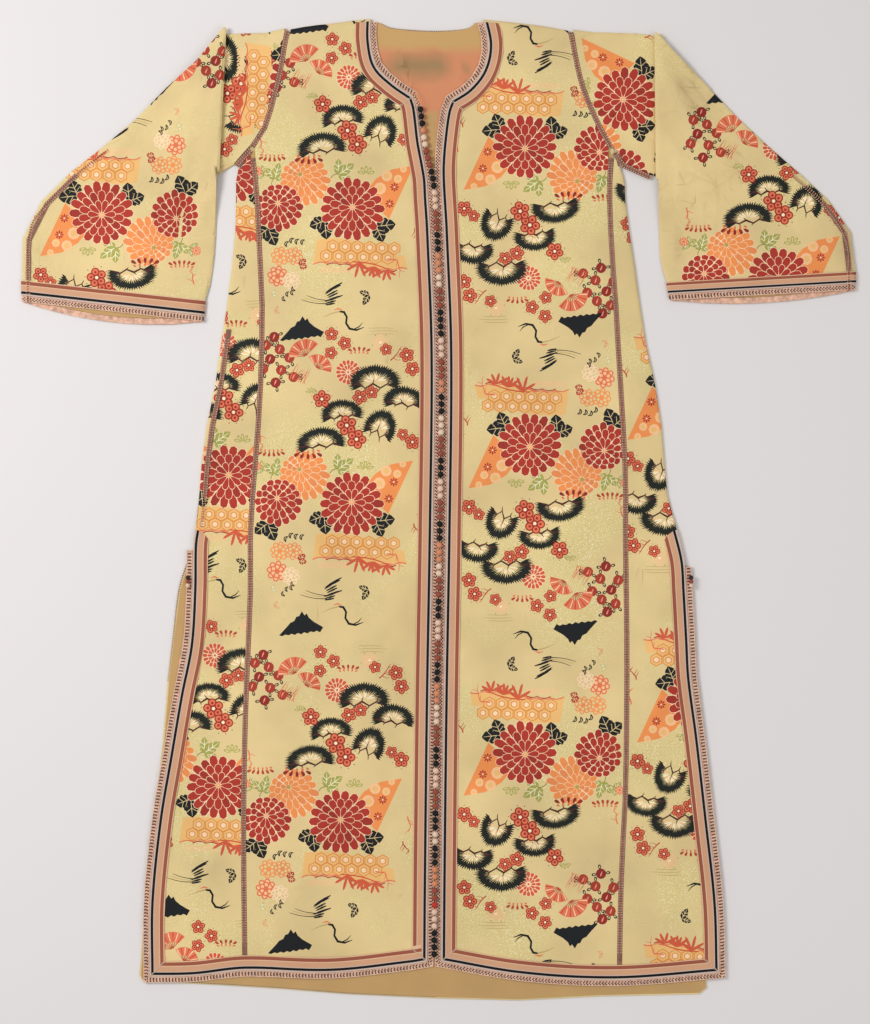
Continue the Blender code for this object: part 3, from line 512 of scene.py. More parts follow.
def pineBough(halfWidth, height, seed):
    # An arched clump of dark needles over a pale heart of shorter ones, with bare twigs under it.
    draw = random.Random(seed)
    outline = []
    spikes = max(18, round((halfWidth + height) * 0.62))
    for k in range(spikes * 2 + 1):
        angle = math.radians(205 - 230 * k / (spikes * 2))
        reach = (1.0 + draw.uniform(-0.04, 0.05)) if k % 2 else (0.84 + draw.uniform(-0.04, 0.03))
        outline.append(complex(halfWidth * reach * math.cos(angle + 0.05),
                               height * reach * math.sin(angle + 0.05)))
    inner = max(12, round(spikes * 0.62))
    for k in range(inner * 2 + 1):
        angle = math.radians(-18 + 216 * k / (inner * 2))
        reach = (0.62 + draw.uniform(-0.06, 0.04)) if k % 2 else (0.36 + draw.uniform(-0.06, 0.06))
        outline.append(complex(halfWidth * reach * math.cos(angle), height * reach * math.sin(angle)))
    shapes = [(outline, "pineGreen")]
    for k in range(11):
        angle = math.radians(10 + 16 * k + draw.uniform(-5, 5))
        base = complex(halfWidth * 0.10 * math.cos(angle), height * (0.02 + 0.10 * math.sin(angle)))
        tip = complex(halfWidth * 0.44 * math.cos(angle), height * 0.44 * math.sin(angle))
        shapes.append((petal(base, tip, height * 0.10, steps=7), "cream" if k % 3 else "paleOrange"))
    points = [complex(-halfWidth * 0.88, -height * 0.16)]
    for k in range(6):
        points.append(complex(halfWidth * (-0.62 + 0.27 * k),
                              -height * (0.06 + 0.30 * (k % 2) * draw.uniform(0.5, 1.0))))
    shapes.append((stroke(points, [0.8, 2.6, 2.2, 3.2, 2.4, 2.4, 1.0]), "branch"))
    for k in range(1, 6):
        way = complex(draw.uniform(-4, 4), height * draw.uniform(0.16, 0.34) * (1 if k % 2 else -0.7))
        shapes.append((stroke([points[k], points[k] + way * 0.6, points[k] + way], [1.6, 1.2, 0.4]),
                       "branch"))
    return shapes


def veinedLeaf(length, width, colour="black", veinColour="ground", lobes=3):
    # A broad lobed leaf from its stalk at the origin, with pale veins between the lobes.
    outline = [0j]
    for half in (1, -1):
        edge = []
        for k in range(lobes * 3 + 1):
            share = (k + 0.6) / (lobes * 3 + 1.2)
            notch = 0.80 if k % 3 == 0 and k else 1.0
            swell = math.sin(math.pi * share ** 0.75) ** 0.7
            edge.append(complex(length * share, half * width / 2 * notch * swell))
        outline += edge if half == 1 else edge[::-1]
        if half == 1:
            outline.append(complex(length, 0))
    shapes = [(outline, colour)]
    shapes.append((stroke([complex(length * t, 0) for t in (0.06, 0.5, 0.9)], [1.0, 1.1, 0.4]), veinColour))
    for k in range(lobes - 1):
        root = length * (0.22 + 0.26 * k)
        for half in (1, -1):
            end = complex(root + length * 0.24, half * width * 0.40)
            shapes.append((stroke([complex(root, 0), (complex(root, 0) + end) / 2, end], [0.7, 0.9, 0.5]),
                           veinColour))
    return shapes


def leafPair(length=24.0, width=15.0, colour="black", spreadAngle=62):
    veins = "cream" if colour == "olive" else "ground"
    shapes = turned(veinedLeaf(length, width, colour, veins), 0, 0, spreadAngle / 2)
    shapes += turned(veinedLeaf(length * 0.86, width * 0.9, colour, veins), 0, 0, -spreadAngle / 2)
    return shapes


def leafTrio(colour="olive"):
    shapes = leafPair(20, 12, colour, 110)
    veins = "cream" if colour == "olive" else "ground"
    shapes += veinedLeaf(24, 13, colour, veins)
    stalk = "oliveDark" if colour == "olive" else colour
    shapes.append((stroke(bentLine(-14 + 0j, 2 + 0j, 0.2), [0.8, 1, 1, 1, 1, 0.9, 0.6]), stalk))
    return shapes


def lineLeaf():
    shapes = []
    for k in range(5):
        way = cmath.exp(1j * math.radians(20 + 35 * k))
        shapes.append((petal(2 * way, 13 * way, 5.4, steps=8), "olive"))
        shapes.append((petal(4 * way, 11 * way, 2.8, steps=8), "ground"))
    return shapes


def tortoiseshellBand(width, height, seed=3):
    # A bank of six-sided cells with a waved red edge below it.
    draw = random.Random(seed)
    waves = 7
    top = []
    lower = []
    for k in range(29):
        share = k / 28
        x = width * (share - 0.5)
        wave = 2.4 * abs(math.sin(math.pi * waves * share))
        lean = -6.0 * share
        top.append(complex(x * 0.94, height * 0.5 * math.sin(math.pi * min(1, 0.22 + share * 1.1)) ** 0.4
                           + lean * 0.3))
        lower.append(complex(x, -height * 0.5 + wave + 3.5 * math.sin(2 * math.pi * share) + lean * 0.2))
    shapes = [(top + lower[::-1], "goldBand")]
    cell = height * 0.235
    for row in range(2):
        for k in range(int(width / (cell * 1.9)) + 1):
            x = -width * 0.43 + cell * 1.9 * (k + 0.5 * row)
            y = height * 0.20 - row * cell * 1.62 + cell * 0.1 * row
            if abs(x) > width * 0.41:
                continue
            for radius, colour in ((1.06, "goldLine"), (0.90, "goldBand"), (0.56, "goldLine"),
                                   (0.40, "outline")):
                corners = [complex(x, y) + cell * radius * cmath.exp(1j * (math.pi / 6 + math.pi / 3 * i))
                           for i in range(6)]
                shapes.append((corners, colour))
    shapes.append((stroke([p + 0.4j for p in lower], [1.0 + 1.4 * draw.random() for _ in lower]), "coral"))
    shapes.append((stroke([p - 1.8j for p in lower[4:-3]], [0.7 + 1.2 * draw.random() for _ in lower[4:-3]]),
                   "red"))
    return shapes


def bambooSpray(colour="coralDeep", seed=5):
    draw = random.Random(seed)
    shapes = [(stroke(bentLine(-22 + 6j, 22 - 4j, 0.06), [1.2, 1.6, 1.5, 1.6, 1.4, 1.2, 0.8]), colour)]
    for x, y, count in ((-14, 5, 4), (2, 1, 5), (16, -3, 4)):
        for k in range(count):
            way = cmath.exp(1j * math.radians(-150 + 120 * k / (count - 1) + draw.uniform(-8, 8)))
            foot = complex(x, y)
            shapes.append((petal(foot, foot + way * draw.uniform(12, 18), 3.4, fullness=0.1, steps=8),
                           colour))
    return shapes


def chevronRow(count=9, colour="paleOrange"):
    shapes = []
    for k in range(count):
        for half in (1, -1):
            foot = complex(5.2 * k, 0)
            shapes.append((petal(foot, foot + complex(5.4, half * 4.2), 2.6, steps=7), colour))
    return shapes


def crookedTwig(length=30.0, colour="coral", seed=1):
    draw = random.Random(seed)
    points = [0j]
    for k in range(5):
        points.append(points[-1] + length / 5 * cmath.exp(1j * math.radians(draw.uniform(-38, 38))))
    shapes = [(stroke(points, [2.0, 1.8, 1.7, 1.4, 1.2, 0.6]), colour)]
    for k in (1, 2, 4):
        way = cmath.exp(1j * math.radians(draw.choice((-55, 50))))
        shapes.append((stroke([points[k], points[k] + way * 5, points[k] + way * 9 * draw.uniform(0.7, 1.2)],
                              [1.1, 0.9, 0.5]), colour))
    return shapes


def wingMass():
    # The dark back of a flying bird, peaked, with a ragged lower edge and a point at either side.
    draw = random.Random(7)
    upper = [64 + 6j, 50 + 14j, 43 + 20j, 40 + 26j, 37 + 23j, 33 + 29j, 29 + 22j, 25 + 21j, 22 + 15j,
             16 + 12j, 12 + 7j]
    lower = [complex(64 * k / 14, -6 + 8 * k / 14 - (2.4 if k % 2 else 0) * draw.uniform(0.6, 1.4))
             for k in range(14)]
    return [(upper + lower, "black")]


def craneHead():
    # The curved neck of a flying bird with a long pale beak and two trailing feathers.
    neck = [-17 + 12j, -10 + 11j, -6 + 4j, -7 - 5j, -2 - 13j, 8 - 15j, 19 - 11j]
    shapes = [(stroke(neck, [2.6, 3.6, 3.0, 3.0, 3.6, 2.8, 0.8]), "black")]
    shapes.append((stroke([4 - 14j, 12 - 10j, 17 - 4j], [1.6, 1.6, 0.5]), "black"))
    shapes.append((stroke([-16 + 12j, -28 + 9j, -41 + 3j], [2.4, 1.6, 0.5]), "tan"))
    shapes.append((stroke([-24 + 14j, -18 + 16j, -12 + 14j], [1.0, 2.2, 0.8]), "coral"))
    return shapes


def craneLegs(seed=4):
    draw = random.Random(seed)
    shapes = []
    for k in range(9):
        foot = complex(0, -5 + 2.6 * k) + complex(draw.uniform(-3, 3), 0)
        shapes.append((petal(foot, foot + complex(19 + draw.uniform(-5, 6), 3 + 1.2 * k), 3.0, fullness=0.2,
                             steps=7), "black"))
    for k in range(3):
        line = bentLine(complex(2, -3 + 2.4 * k), complex(-36 + 4 * k, 3 + 3.0 * k), 0.05)
        shapes.append((stroke(line, [1.4, 1.2, 1.0, 0.9, 0.9, 0.8, 0.6]), "tan" if k % 2 else "black"))
    return shapes


def patchedKite():
    # A tilted four-sided patch with two small red flowers on it.
    shapes = [([89 + 63j, 53 - 14j, 36 + 2j, 20 + 26j, 34 + 44j, 58 + 58j], "orange")]
    for x, y, r in ((40, 30, 9), (50, 48, 8), (34, 14, 6), (66, 44, 6), (74, 58, 5)):
        shapes.append((disc(complex(x, y), r, 9), "paleOrange"))
        shapes.append((disc(complex(x, y), r * 0.55, 7), "goldBand"))
    for x, y in ((61, 32), (54, 8)):
        for k in range(8):
            way = cmath.exp(2j * math.pi * k / 8)
            shapes.append((petal(complex(x, y) + way * 1.2, complex(x, y) + way * 6.5, 3.0, steps=7), "red"))
        shapes.append((disc(complex(x, y), 1.3, 6), "outline"))
    return shapes


def fruitSprig(seed=8):
    draw = random.Random(seed)
    shapes = []
    spots = [(0, 36), (-12, 24), (8, 18), (22, 6), (-6, 4), (10, -12), (-16, -10), (28, -22), (2, -30)]
    for x, y in spots:
        for k in range(3):
            way = cmath.exp(1j * math.radians(120 * k + draw.uniform(0, 110)))
            foot = complex(x, y) + way * 6.4
            shapes.append((petal(foot, foot + way * 7.5, 5.0, fullness=0.3, steps=8), "black"))
            shapes.append((petal(foot + way * 1.6, foot + way * 5.6, 2.2, fullness=0.3, steps=6), "ground"))
    for i, (x, y) in enumerate(spots):
        shapes.append((disc(complex(x, y), 7.6, 12), "fruit" if i % 4 else "deepRed"))
        shapes.append((petal(complex(x - 2, y - 4), complex(x + 1, y + 4), 2.4, steps=7), "plumPale"))
    return shapes


def openFan(radius=26.0):
    # A folding fan, as a plain ribbed sector.
    leaf = [radius * cmath.exp(1j * math.radians(a)) for a in range(20, 161, 10)]
    leaf += [radius * 0.42 * cmath.exp(1j * math.radians(a)) for a in range(160, 19, -20)]
    shapes = [(leaf, "coral")]
    for k in range(8):
        way = cmath.exp(1j * math.radians(28 + 18 * k))
        rib = "outline" if k % 2 else "plum"
        shapes.append((stroke([way * radius * 0.45, way * radius * 0.95], [0.8, 1.6]), rib))
        shapes.append((stroke([way * 1.0, way * radius * 0.42], [0.9, 1.2]), "plum"))
    return shapes


def reedBundle(seed=6):
    draw = random.Random(seed)
    shapes = []
    for k in range(9):
        foot = complex(-14 + 3.4 * k, -12)
        line = bentLine(foot, foot + complex(draw.uniform(-3, 9), draw.uniform(18, 30)),
                        draw.uniform(-0.1, 0.1))
        shapes.append((stroke(line, [1.2, 1.2, 1.1, 1.0, 0.9, 0.7, 0.4]), "coral" if k % 3 else "plum"))
    return shapes


def mistLines(length=44.0, seed=9):
    draw = random.Random(seed)
    shapes = []
    for k in range(3):
        start = complex(draw.uniform(0, 8), 4.2 * k)
        shapes.append((stroke(bentLine(start, start + length * draw.uniform(0.6, 1.0), 0.02),
                              [0.5, 0.9, 1.0, 0.9, 1.0, 0.8, 0.4]), "tan"))
    return shapes


def budRow(count=5, colour="deepRed"):
    shapes = []
    for k in range(count):
        way = cmath.exp(1j * math.radians(-150 + 120 * k / (count - 1)))
        foot = complex(5.4 * (k - (count - 1) / 2), 0)
        shapes.append((petal(foot, foot + way * 8, 5.0, steps=8), colour))
        shapes.append((petal(foot + 4j, foot + 4j + way * 5, 3.4, steps=7), "coral"))
    return shapes


def peony(radius=14.0, colour="coral"):
    shapes = []
    inner = "paleOrange" if colour == "coral" else "ground"
    for ring, count in ((0.78, 8), (0.44, 6)):
        for k in range(count):
            centre = radius * ring * cmath.exp(2j * math.pi * (k + ring) / count)
            shapes.append((disc(centre, radius * 0.32, 9), colour))
            shapes.append((disc(centre, radius * 0.19, 7), inner))
    shapes.append((disc(0, radius * 0.2, 8), colour))
    return shapes


def curledLeaves(seed=11):
    draw = random.Random(seed)
    shapes = []
    for k in range(4):
        start = complex(-12 + 8 * k, draw.uniform(-4, 4))
        line = bentLine(start, start + 9 * cmath.exp(1j * math.radians(draw.uniform(20, 80))), 0.4, 6)
        shapes.append((stroke(line, [1.2, 3.6, 4.4, 4.2, 3.0, 0.8]), "black"))
        shapes.append((stroke(line[1:5], [0.4, 1.0, 1.0, 0.4]), "ground"))
    return shapes


# One repeat of the woven pattern, about 0.44 m high, round its large red flower


repeat = [
    # shapes, x, y, angle, size
    (patchedKite(), 0, 0, 0, 1.0),
    (tortoiseshellBand(136, 40), 12, -63, -2, 1.0),
    (leafTrio("olive"), -20, 50, 35, 1.15),
    (leafTrio("olive"), -112, 44, 75, 1.0),
    (leafTrio("olive"), -128, 52, 160, 0.7),
    (lineLeaf(), 20, 50, 0, 1.0),
    (peony(6.5, "coral"), -137, 55, 0, 1.0),
    (orangeFlower(), -68, 40, 0, 1.0),
    (leafPair(28, 23, "black", 74), 35, -25, -30, 1.0),
    (leafPair(27, 23, "black", 76), -40, -17, -122, 1.0),
    (leafPair(27, 23, "black", 76), -122, -28, -104, 1.0),
    (smallFlower(), -106, 2, 0, 1.0),
    (largeFlower(), 0, 0, 0, 1.0),
    (curledLeaves(11), -84, -52, 12, 0.95),
    (peony(13, "orange"), -104, -68, 0, 1.0),
    (peony(12, "orangeShade"), -84, -68, 0, 1.0),
    (leafPair(13, 11, "red", 60), -76, -82, 20, 1.0),
    (chevronRow(), -49, -88, 0, 1.0),
    (bambooSpray(), 28, -84, 0, 1.3),
    (crookedTwig(38, "coral", 2), 50, -72, -42, 1.0),
    (peony(14, "coral"), -108, -97, 0, 1.0),
    (peony(12, "outline"), -88, -104, 0, 1.0),
    (curledLeaves(12), -90, -125, 50, 0.85),
    (craneLegs(), -38, -134, 0, 1.0),
    (leafPair(17, 10, "black", 80), 24, -124, 200, 1.0),
    (wingMass(), -105, -184, 0, 1.0),
    (craneHead(), -2, -160, 0, 1.0),
    (leafPair(9, 4, "coral", 80), -112, -148, 20, 1.0),
    (leafPair(9, 4, "olive", 80), -116, -124, 20, 1.0),
    (plumBlossom(10), -29, 246, 0, 1.0),
    (plumBlossom(10), -10, 233, 20, 1.0),
    (plumBlossom(9.5), -30, 219, 50, 1.0),
    (budRow(5, "plum"), 11, 221, 180, 0.9),
    (mistLines(46), 24, 246, 0, 1.0),
    (outlinePlum(), 42, 234, 0, 1.0),
    (plumBlossom(9), 50, 224, 10, 1.0),
    (plumBlossom(11), 80, 216, 15, 1.0),
    (plumBlossom(11), 88, 196, 40, 1.0),
    (crookedTwig(30, "plum", 5), 56, 208, 30, 0.9),
    (fruitSprig(), -112, 206, 0, 1.0),
    (openFan(25), -66, 214, 25, 1.0),
    (openFan(21), -50, 196, -35, 1.0),
    (reedBundle(), -76, 188, -20, 0.9),
    (lineLeaf(), -58, 160, 0, 0.7),
    (buttonFlower(18.5), -5, 191, 0, 1.0),
    (crookedTwig(26, "coral", 9), -134, 104, -70, 1.0),
    (budRow(5), -63, 74, 0, 1.15),
    (budRow(6, "plum"), -116, 76, 0, 0.95),
    (pineBough(40, 27, 21), 34, 176, 0, 1.0),
    (pineBough(33, 24, 22), 76, 148, -6, 1.0),
    (pineBough(33, 23, 23), -14, 130, 4, 1.0),
    (pineBough(25, 32, 24), 40, 108, -24, 1.0),
    (pineBough(38, 25, 25), -44, 88, 6, 1.0),
    (plumBlossom(13), -43, 152, 0, 1.0),
    (plumBlossom(11), 12, 155, 25, 1.0),
    (plumBlossom(10), 29, 162, 5, 1.0),
    (plumBlossom(15), -7, 114, 12, 1.0),
    (plumBlossom(14.5), 7, 94, 50, 1.0),
    (plumBlossom(11.5), 88, 90, 0, 1.0),
    (plumBlossom(9), 74, 101, 30, 1.0),
    (crookedTwig(24, "coral", 12), 97, 8, -80, 1.0),
    (crookedTwig(20, "plum", 13), 90, -28, -65, 1.0),
]


def repeatAt(x, y, angle):
    shapes = []
    for motif, mx, my, turn, scale in repeat:
        shapes += turned(turned(motif, mx, my, turn, scale), x, y, angle)
    return shapes


# Cloth pieces: the solid's own shape, with the woven pattern cut into its upper faces


def nodeTriangles(node):
    net = bmesh.new()
    net.from_mesh(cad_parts[node].data)
    bmesh.ops.remove_doubles(net, verts=net.verts, dist=1e-6)
    bmesh.ops.triangulate(net, faces=net.faces)
    points = np.array([v.co for v in net.verts]) / mm
    faces = [[v.index for v in face.verts] for face in net.faces]
    net.free()
    return points, faces


def shownGroups(points, faces, facing=1):
    # Groups of joined faces that look up (or down), kept where an eye there meets most of them.
    corners = points[np.array(faces)]
    normals = np.cross(corners[:, 1] - corners[:, 0], corners[:, 2] - corners[:, 0])
    areas = np.linalg.norm(normals, axis=1)
    turnedUp = normals[:, 2] * facing > 0.25 * areas
    tree = BVHTree.FromPolygons([Vector(p) for p in points], faces)
    byEdge = {}
    for index in np.flatnonzero(turnedUp):
        face = faces[index]
        for k in range(3):
            byEdge.setdefault(frozenset((face[k], face[(k + 1) % 3])), []).append(index)
    group = {}
    groups = []
    for start in np.flatnonzero(turnedUp):
        if start in group:
            continue
        members = [start]
        group[start] = len(groups)
        for index in members:
            face = faces[index]
            for k in range(3):
                for other in byEdge[frozenset((face[k], face[(k + 1) % 3]))]:
                    if other not in group:
                        group[other] = len(groups)
                        members.append(other)
        seen = 0.0
        for index in members:
            centre = corners[index].mean(axis=0)
            hit = tree.ray_cast(Vector((centre[0], centre[1], 100.0 * facing)), Vector((0, 0, -facing)))
            if hit[2] == index:
                seen += areas[index]
        if seen > 0.3 * areas[members].sum():
            groups.append(members)
        else:
            groups.append(None)
    return [members for members in groups if members]


cutting = {
    "tile": 30.0,
    "spacing": 6.0,
    "start": 1.3,
    "slack": 2e-3,
    "coarse": 9,
}


def patternedMesh(name, node, motifsOf, reliefOf, material, spacing=cutting["spacing"], facing=1,
                  smoothing=0, ground="ground"):
    # motifsOf(middle of a group) gives its motifs, reliefOf(x, y, z, level) the height to add to each point.
    # The plan is cut in square tiles, which keeps the cutting quick, and joined again along their edges.
    points, faces = nodeTriangles(node)
    newPoints = [tuple(p) for p in points]
    newFaces = []
    newColours = []
    tile = cutting["tile"]
    groundColour = linearColour(silks[ground])
    palette = {colour: linearColour(hexText)[:3] + (0.0,) for colour, hexText in silks.items()}
    taken = set()
    onEdge = {}
    for members in shownGroups(points, faces, facing):
        taken.update(members)
        base = [faces[i] if facing > 0 else faces[i][::-1] for i in members]
        corner = points[np.array(base)]
        low = corner.min(axis=(0, 1))
        high = corner.max(axis=(0, 1))
        motifs = [(outline, palette[colour]) for outline, colour in motifsOf((low + high) / 2)]
        boxes = np.array([boxOf(outline) for outline, colour in motifs] or np.zeros((0, 4)))
        across, down = corner[:, :, 0], corner[:, :, 1]
        baseBoxes = np.stack([across.min(1), across.max(1), down.min(1), down.max(1)], 1)
        joined = {}
        plan = []
        home = []
        triangles = []
        inks = []
        for x0 in np.arange(low[0] - cutting["start"], high[0], tile):
            for y0 in np.arange(low[1] - cutting["start"], high[1], tile):
                x1, y1 = x0 + tile, y0 + tile
                nearBase = touching(baseBoxes, x0, x1, y0, y1)
                if not len(nearBase):
                    continue
                coords = [Vector((x0, y0)), Vector((x1, y0)), Vector((x1, y1)), Vector((x0, y1))]
                outlines = [[0, 1, 2, 3]]
                given = {}
                for i in nearBase:
                    for v in base[i]:
                        if v not in given:
                            given[v] = len(coords)
                            coords.append(Vector((points[v][0], points[v][1])))
                    outlines.append([given[v] for v in base[i]])
                nearMotifs = touching(boxes, x0, x1, y0, y1)
                drawn = []
                for i in nearMotifs:
                    outline = motifs[i][0]
                    first = len(coords)
                    drawn += [(first + k, first + (k + 1) % len(outline)) for k in range(len(outline))]
                    coords += [Vector((p.real, p.imag)) for p in outline]
                steps = round(tile / spacing)
                for i in range(steps):
                    for j in range(steps):
                        coords.append(Vector((x0 + (i + 0.5) * tile / steps, y0 + (j + 0.5) * tile / steps)))
                pieces = delaunay_2d_cdt(coords, drawn, outlines, 1, 1e-4, True)
                verts, cut, fromVerts, fromFaces = pieces[0], pieces[2], pieces[3], pieces[5]
                back = {k: v for v, k in given.items()}
                baseCount = len(nearBase)
                mapped = {}
                topmost = topMotifs(verts, cut, motifs, boxes, nearMotifs)
                for face, source, ink in zip(cut, fromFaces, topmost):
                    if 0 not in source:
                        continue
                    carriers = [s for s in source if 1 <= s <= baseCount]
                    if not carriers:
                        continue
                    carrier = nearBase[carriers[0] - 1]
                    ring = []
                    for v in face:
                        if v not in mapped:
                            x, y = verts[v]
                            origin = [back[s] for s in fromVerts[v] if s in back]
                            onTile = min(x - x0, x1 - x, y - y0, y1 - y) < cutting["slack"]
                            if origin:
                                found = joined.get(("solid", origin[0]))
                            else:
                                found = nearest(joined, x, y) if onTile else None
                            if found is None:
                                found = len(plan)
                                plan.append((x, y))
                                home.append((carrier, origin[0] if origin else -1))
                                if origin:
                                    joined[("solid", origin[0])] = found
                                elif onTile:
                                    joined[(round(x * 100), round(y * 100))] = found
                            mapped[v] = found
                        ring.append(mapped[v])
                    if len(set(ring)) < 3:
                        continue
                    triangles.append(ring)
                    inks.append(motifs[ink][1] if ink >= 0 else groundColour)
        plan = np.array(plan)
        z, level = heightsOn(corner[np.array([carrier for carrier, origin in home])], plan)
        if smoothing:
            z = smoothedHeights(z, triangles, smoothing)
        z = z + reliefOf(plan[:, 0], plan[:, 1], z, level)
        index = []
        for k, (carrier, origin) in enumerate(home):
            if origin >= 0:
                index.append(origin)
                newPoints[origin] = (plan[k][0], plan[k][1], z[k])
            else:
                index.append(len(newPoints))
                newPoints.append((plan[k][0], plan[k][1], z[k]))
        rim = {}
        for ring, ink in zip(triangles, inks):
            for k in range(3):
                edge = frozenset((ring[k], ring[(k + 1) % 3]))
                rim[edge] = rim.get(edge, 0) + 1
            newFaces.append([index[v] for v in (ring if facing > 0 else ring[::-1])])
            newColours.append(ink)
        rimPoints = [v for v in {v for edge, count in rim.items() if count == 1 for v in edge}
                     if home[v][1] < 0]
        if rimPoints:
            for edge, order in rimOrder(base, points, plan[rimPoints]).items():
                onEdge[edge] = [index[rimPoints[h]] for h in order]
    for i, face in enumerate(faces):
        if i in taken:
            continue
        ring = []
        for k in range(3):
            start, end = face[k], face[(k + 1) % 3]
            ring.append(start)
            extra = onEdge.get((min(start, end), max(start, end)), [])
            ring += extra if start < end else extra[::-1]
        newFaces.append(ring)
        newColours.append(groundColour)
    return meshPiece(name, newPoints, newFaces, [material], colours=newColours)


def topMotifs(verts, cut, motifs, boxes, nearMotifs):
    # The motif that lies topmost over each cut triangle, or -1 for the ground.
    middles = np.array([[sum(verts[v][k] for v in face) / 3 for k in (0, 1)] for face in cut])
    topmost = np.full(len(cut), -1)
    for i in nearMotifs:
        near = np.flatnonzero((middles[:, 0] > boxes[i][0]) & (middles[:, 0] < boxes[i][1])
                              & (middles[:, 1] > boxes[i][2]) & (middles[:, 1] < boxes[i][3]))
        topmost[near[insideOutline(middles[near], motifs[i][0])]] = i
    return topmost


def heightsOn(corner, plan):
    # The solid's height at each plan point, and how far the smooth swell there stands off its flat face.
    a, b, c = corner[:, 0], corner[:, 1], corner[:, 2]
    scale = (b[:, 0] - a[:, 0]) * (c[:, 1] - a[:, 1]) - (c[:, 0] - a[:, 0]) * (b[:, 1] - a[:, 1])
    u = ((plan[:, 0] - a[:, 0]) * (c[:, 1] - a[:, 1]) - (c[:, 0] - a[:, 0]) * (plan[:, 1] - a[:, 1])) / scale
    w = ((b[:, 0] - a[:, 0]) * (plan[:, 1] - a[:, 1]) - (plan[:, 0] - a[:, 0]) * (b[:, 1] - a[:, 1])) / scale
    z = a[:, 2] + u * (b[:, 2] - a[:, 2]) + w * (c[:, 2] - a[:, 2])
    flat = [swellLevel(q[:, 0], q[:, 1]) for q in (a, b, c)]
    flatLevel = flat[0] + u * (flat[1] - flat[0]) + w * (flat[2] - flat[0])
    return z, swellLevel(plan[:, 0], plan[:, 1]) - flatLevel


def rimOrder(base, points, rimPlan):
    # For each open edge of a group, the new rim points that lie on it, in order along it.
    edgeUse = {}
    for face in base:
        for k in range(3):
            edge = frozenset((face[k], face[(k + 1) % 3]))
            edgeUse[edge] = edgeUse.get(edge, 0) + 1
    found = {}
    for edge, count in edgeUse.items():
        start, end = sorted(edge)
        run = points[end][:2] - points[start][:2]
        length = np.hypot(*run)
        if count > 1 or length < 1e-6:
            continue
        reach = rimPlan - points[start][:2]
        share = reach @ run / length**2
        away = np.abs(reach[:, 0] * run[1] - reach[:, 1] * run[0]) / length
        hits = np.flatnonzero((away < cutting["slack"]) & (share > 0) & (share < 1))
        found[(start, end)] = hits[np.argsort(share[hits])]
    return found


def boxOf(outline):
    across = [p.real for p in outline]
    down = [p.imag for p in outline]
    return [min(across), max(across), min(down), max(down)]


def touching(boxes, x0, x1, y0, y1):
    return [int(i) for i in np.flatnonzero((boxes[:, 1] > x0 - 0.01) & (boxes[:, 0] < x1 + 0.01)
                                           & (boxes[:, 3] > y0 - 0.01) & (boxes[:, 2] < y1 + 0.01))]


def insideOutline(spots, outline):
    ends = np.array([[p.real, p.imag] for p in outline])
    after = np.roll(ends, -1, axis=0)
    x, y = spots[:, :1], spots[:, 1:]
    spans = (ends[:, 1] > y) != (after[:, 1] > y)
    rise = np.where(after[:, 1] == ends[:, 1], 1e-9, after[:, 1] - ends[:, 1])
    meets = x < (after[:, 0] - ends[:, 0]) * (y - ends[:, 1]) / rise + ends[:, 0]
    return (spans & meets).sum(axis=1) % 2 == 1


def nearest(joined, x, y):
    i, j = round(x * 100), round(y * 100)
    for key in ((i, j), (i + 1, j), (i - 1, j), (i, j + 1), (i, j - 1)):
        if key in joined:
            return joined[key]
    return None


def smoothedHeights(z, triangles, rounds):
    # Heights eased towards those around them; the rim stays.
    edges = np.array([[t[k], t[(k + 1) % 3]] for t in triangles for k in range(3)])
    key = np.sort(edges, axis=1)
    pairs, counts = np.unique(key, axis=0, return_counts=True)
    rim = np.zeros(len(z), dtype=bool)
    rim[pairs[counts == 1].ravel()] = True
    for _ in range(rounds):
        total = np.zeros(len(z))
        number = np.zeros(len(z))
        for i, j in ((0, 1), (1, 0)):
            np.add.at(total, pairs[:, i], z[pairs[:, j]])
            np.add.at(number, pairs[:, i], 1)
        z = np.where(rim, z, 0.4 * z + 0.6 * total / np.maximum(number, 1))
    return z


# Materials: each takes its thread colours from the mesh


def cloudedGround(tree, place, ink, colour, fleckShare):
    # Clouds of a greener gold with pale flecks in them, on the ground alone, as the attribute's alpha says.
    flecks = addNode(tree, "ShaderNodeTexNoise", {"Vector": place, "Scale": 620.0, "Detail": 1.0})
    clouds = addNode(tree, "ShaderNodeTexNoise", {"Vector": place, "Scale": 7.0, "Detail": 2.0})
    spots = addNode(tree, "ShaderNodeMapRange", {"Value": flecks.outputs["Fac"], "From Min": 0.56,
        "From Max": 0.68})
    zones = addNode(tree, "ShaderNodeMapRange", {"Value": clouds.outputs["Fac"], "From Min": 0.47,
        "From Max": 0.62})
    onGround = addNode(tree, "ShaderNodeMath", {0: zones.outputs["Result"], 1: ink.outputs["Alpha"]},
                       operation="MULTIPLY")
    inCloud = addNode(tree, "ShaderNodeMath", {0: spots.outputs["Result"], 1: onGround.outputs["Value"]},
                      operation="MULTIPLY")
    for mask, share, tone in ((onGround, 0.45, "#D6C67C"), (inCloud, fleckShare, "#FBF3D2")):
        strength = addNode(tree, "ShaderNodeMath", {0: mask.outputs["Value"], 1: share},
                           operation="MULTIPLY")
        mixed = addNode(tree, "ShaderNodeMix", {"Factor": strength.outputs["Value"]}, data_type="RGBA")
        tree.links.new(colour, mixed.inputs["A"])
        mixed.inputs["B"].default_value = linearColour(tone)
        colour = mixed.outputs["Result"]
    return colour


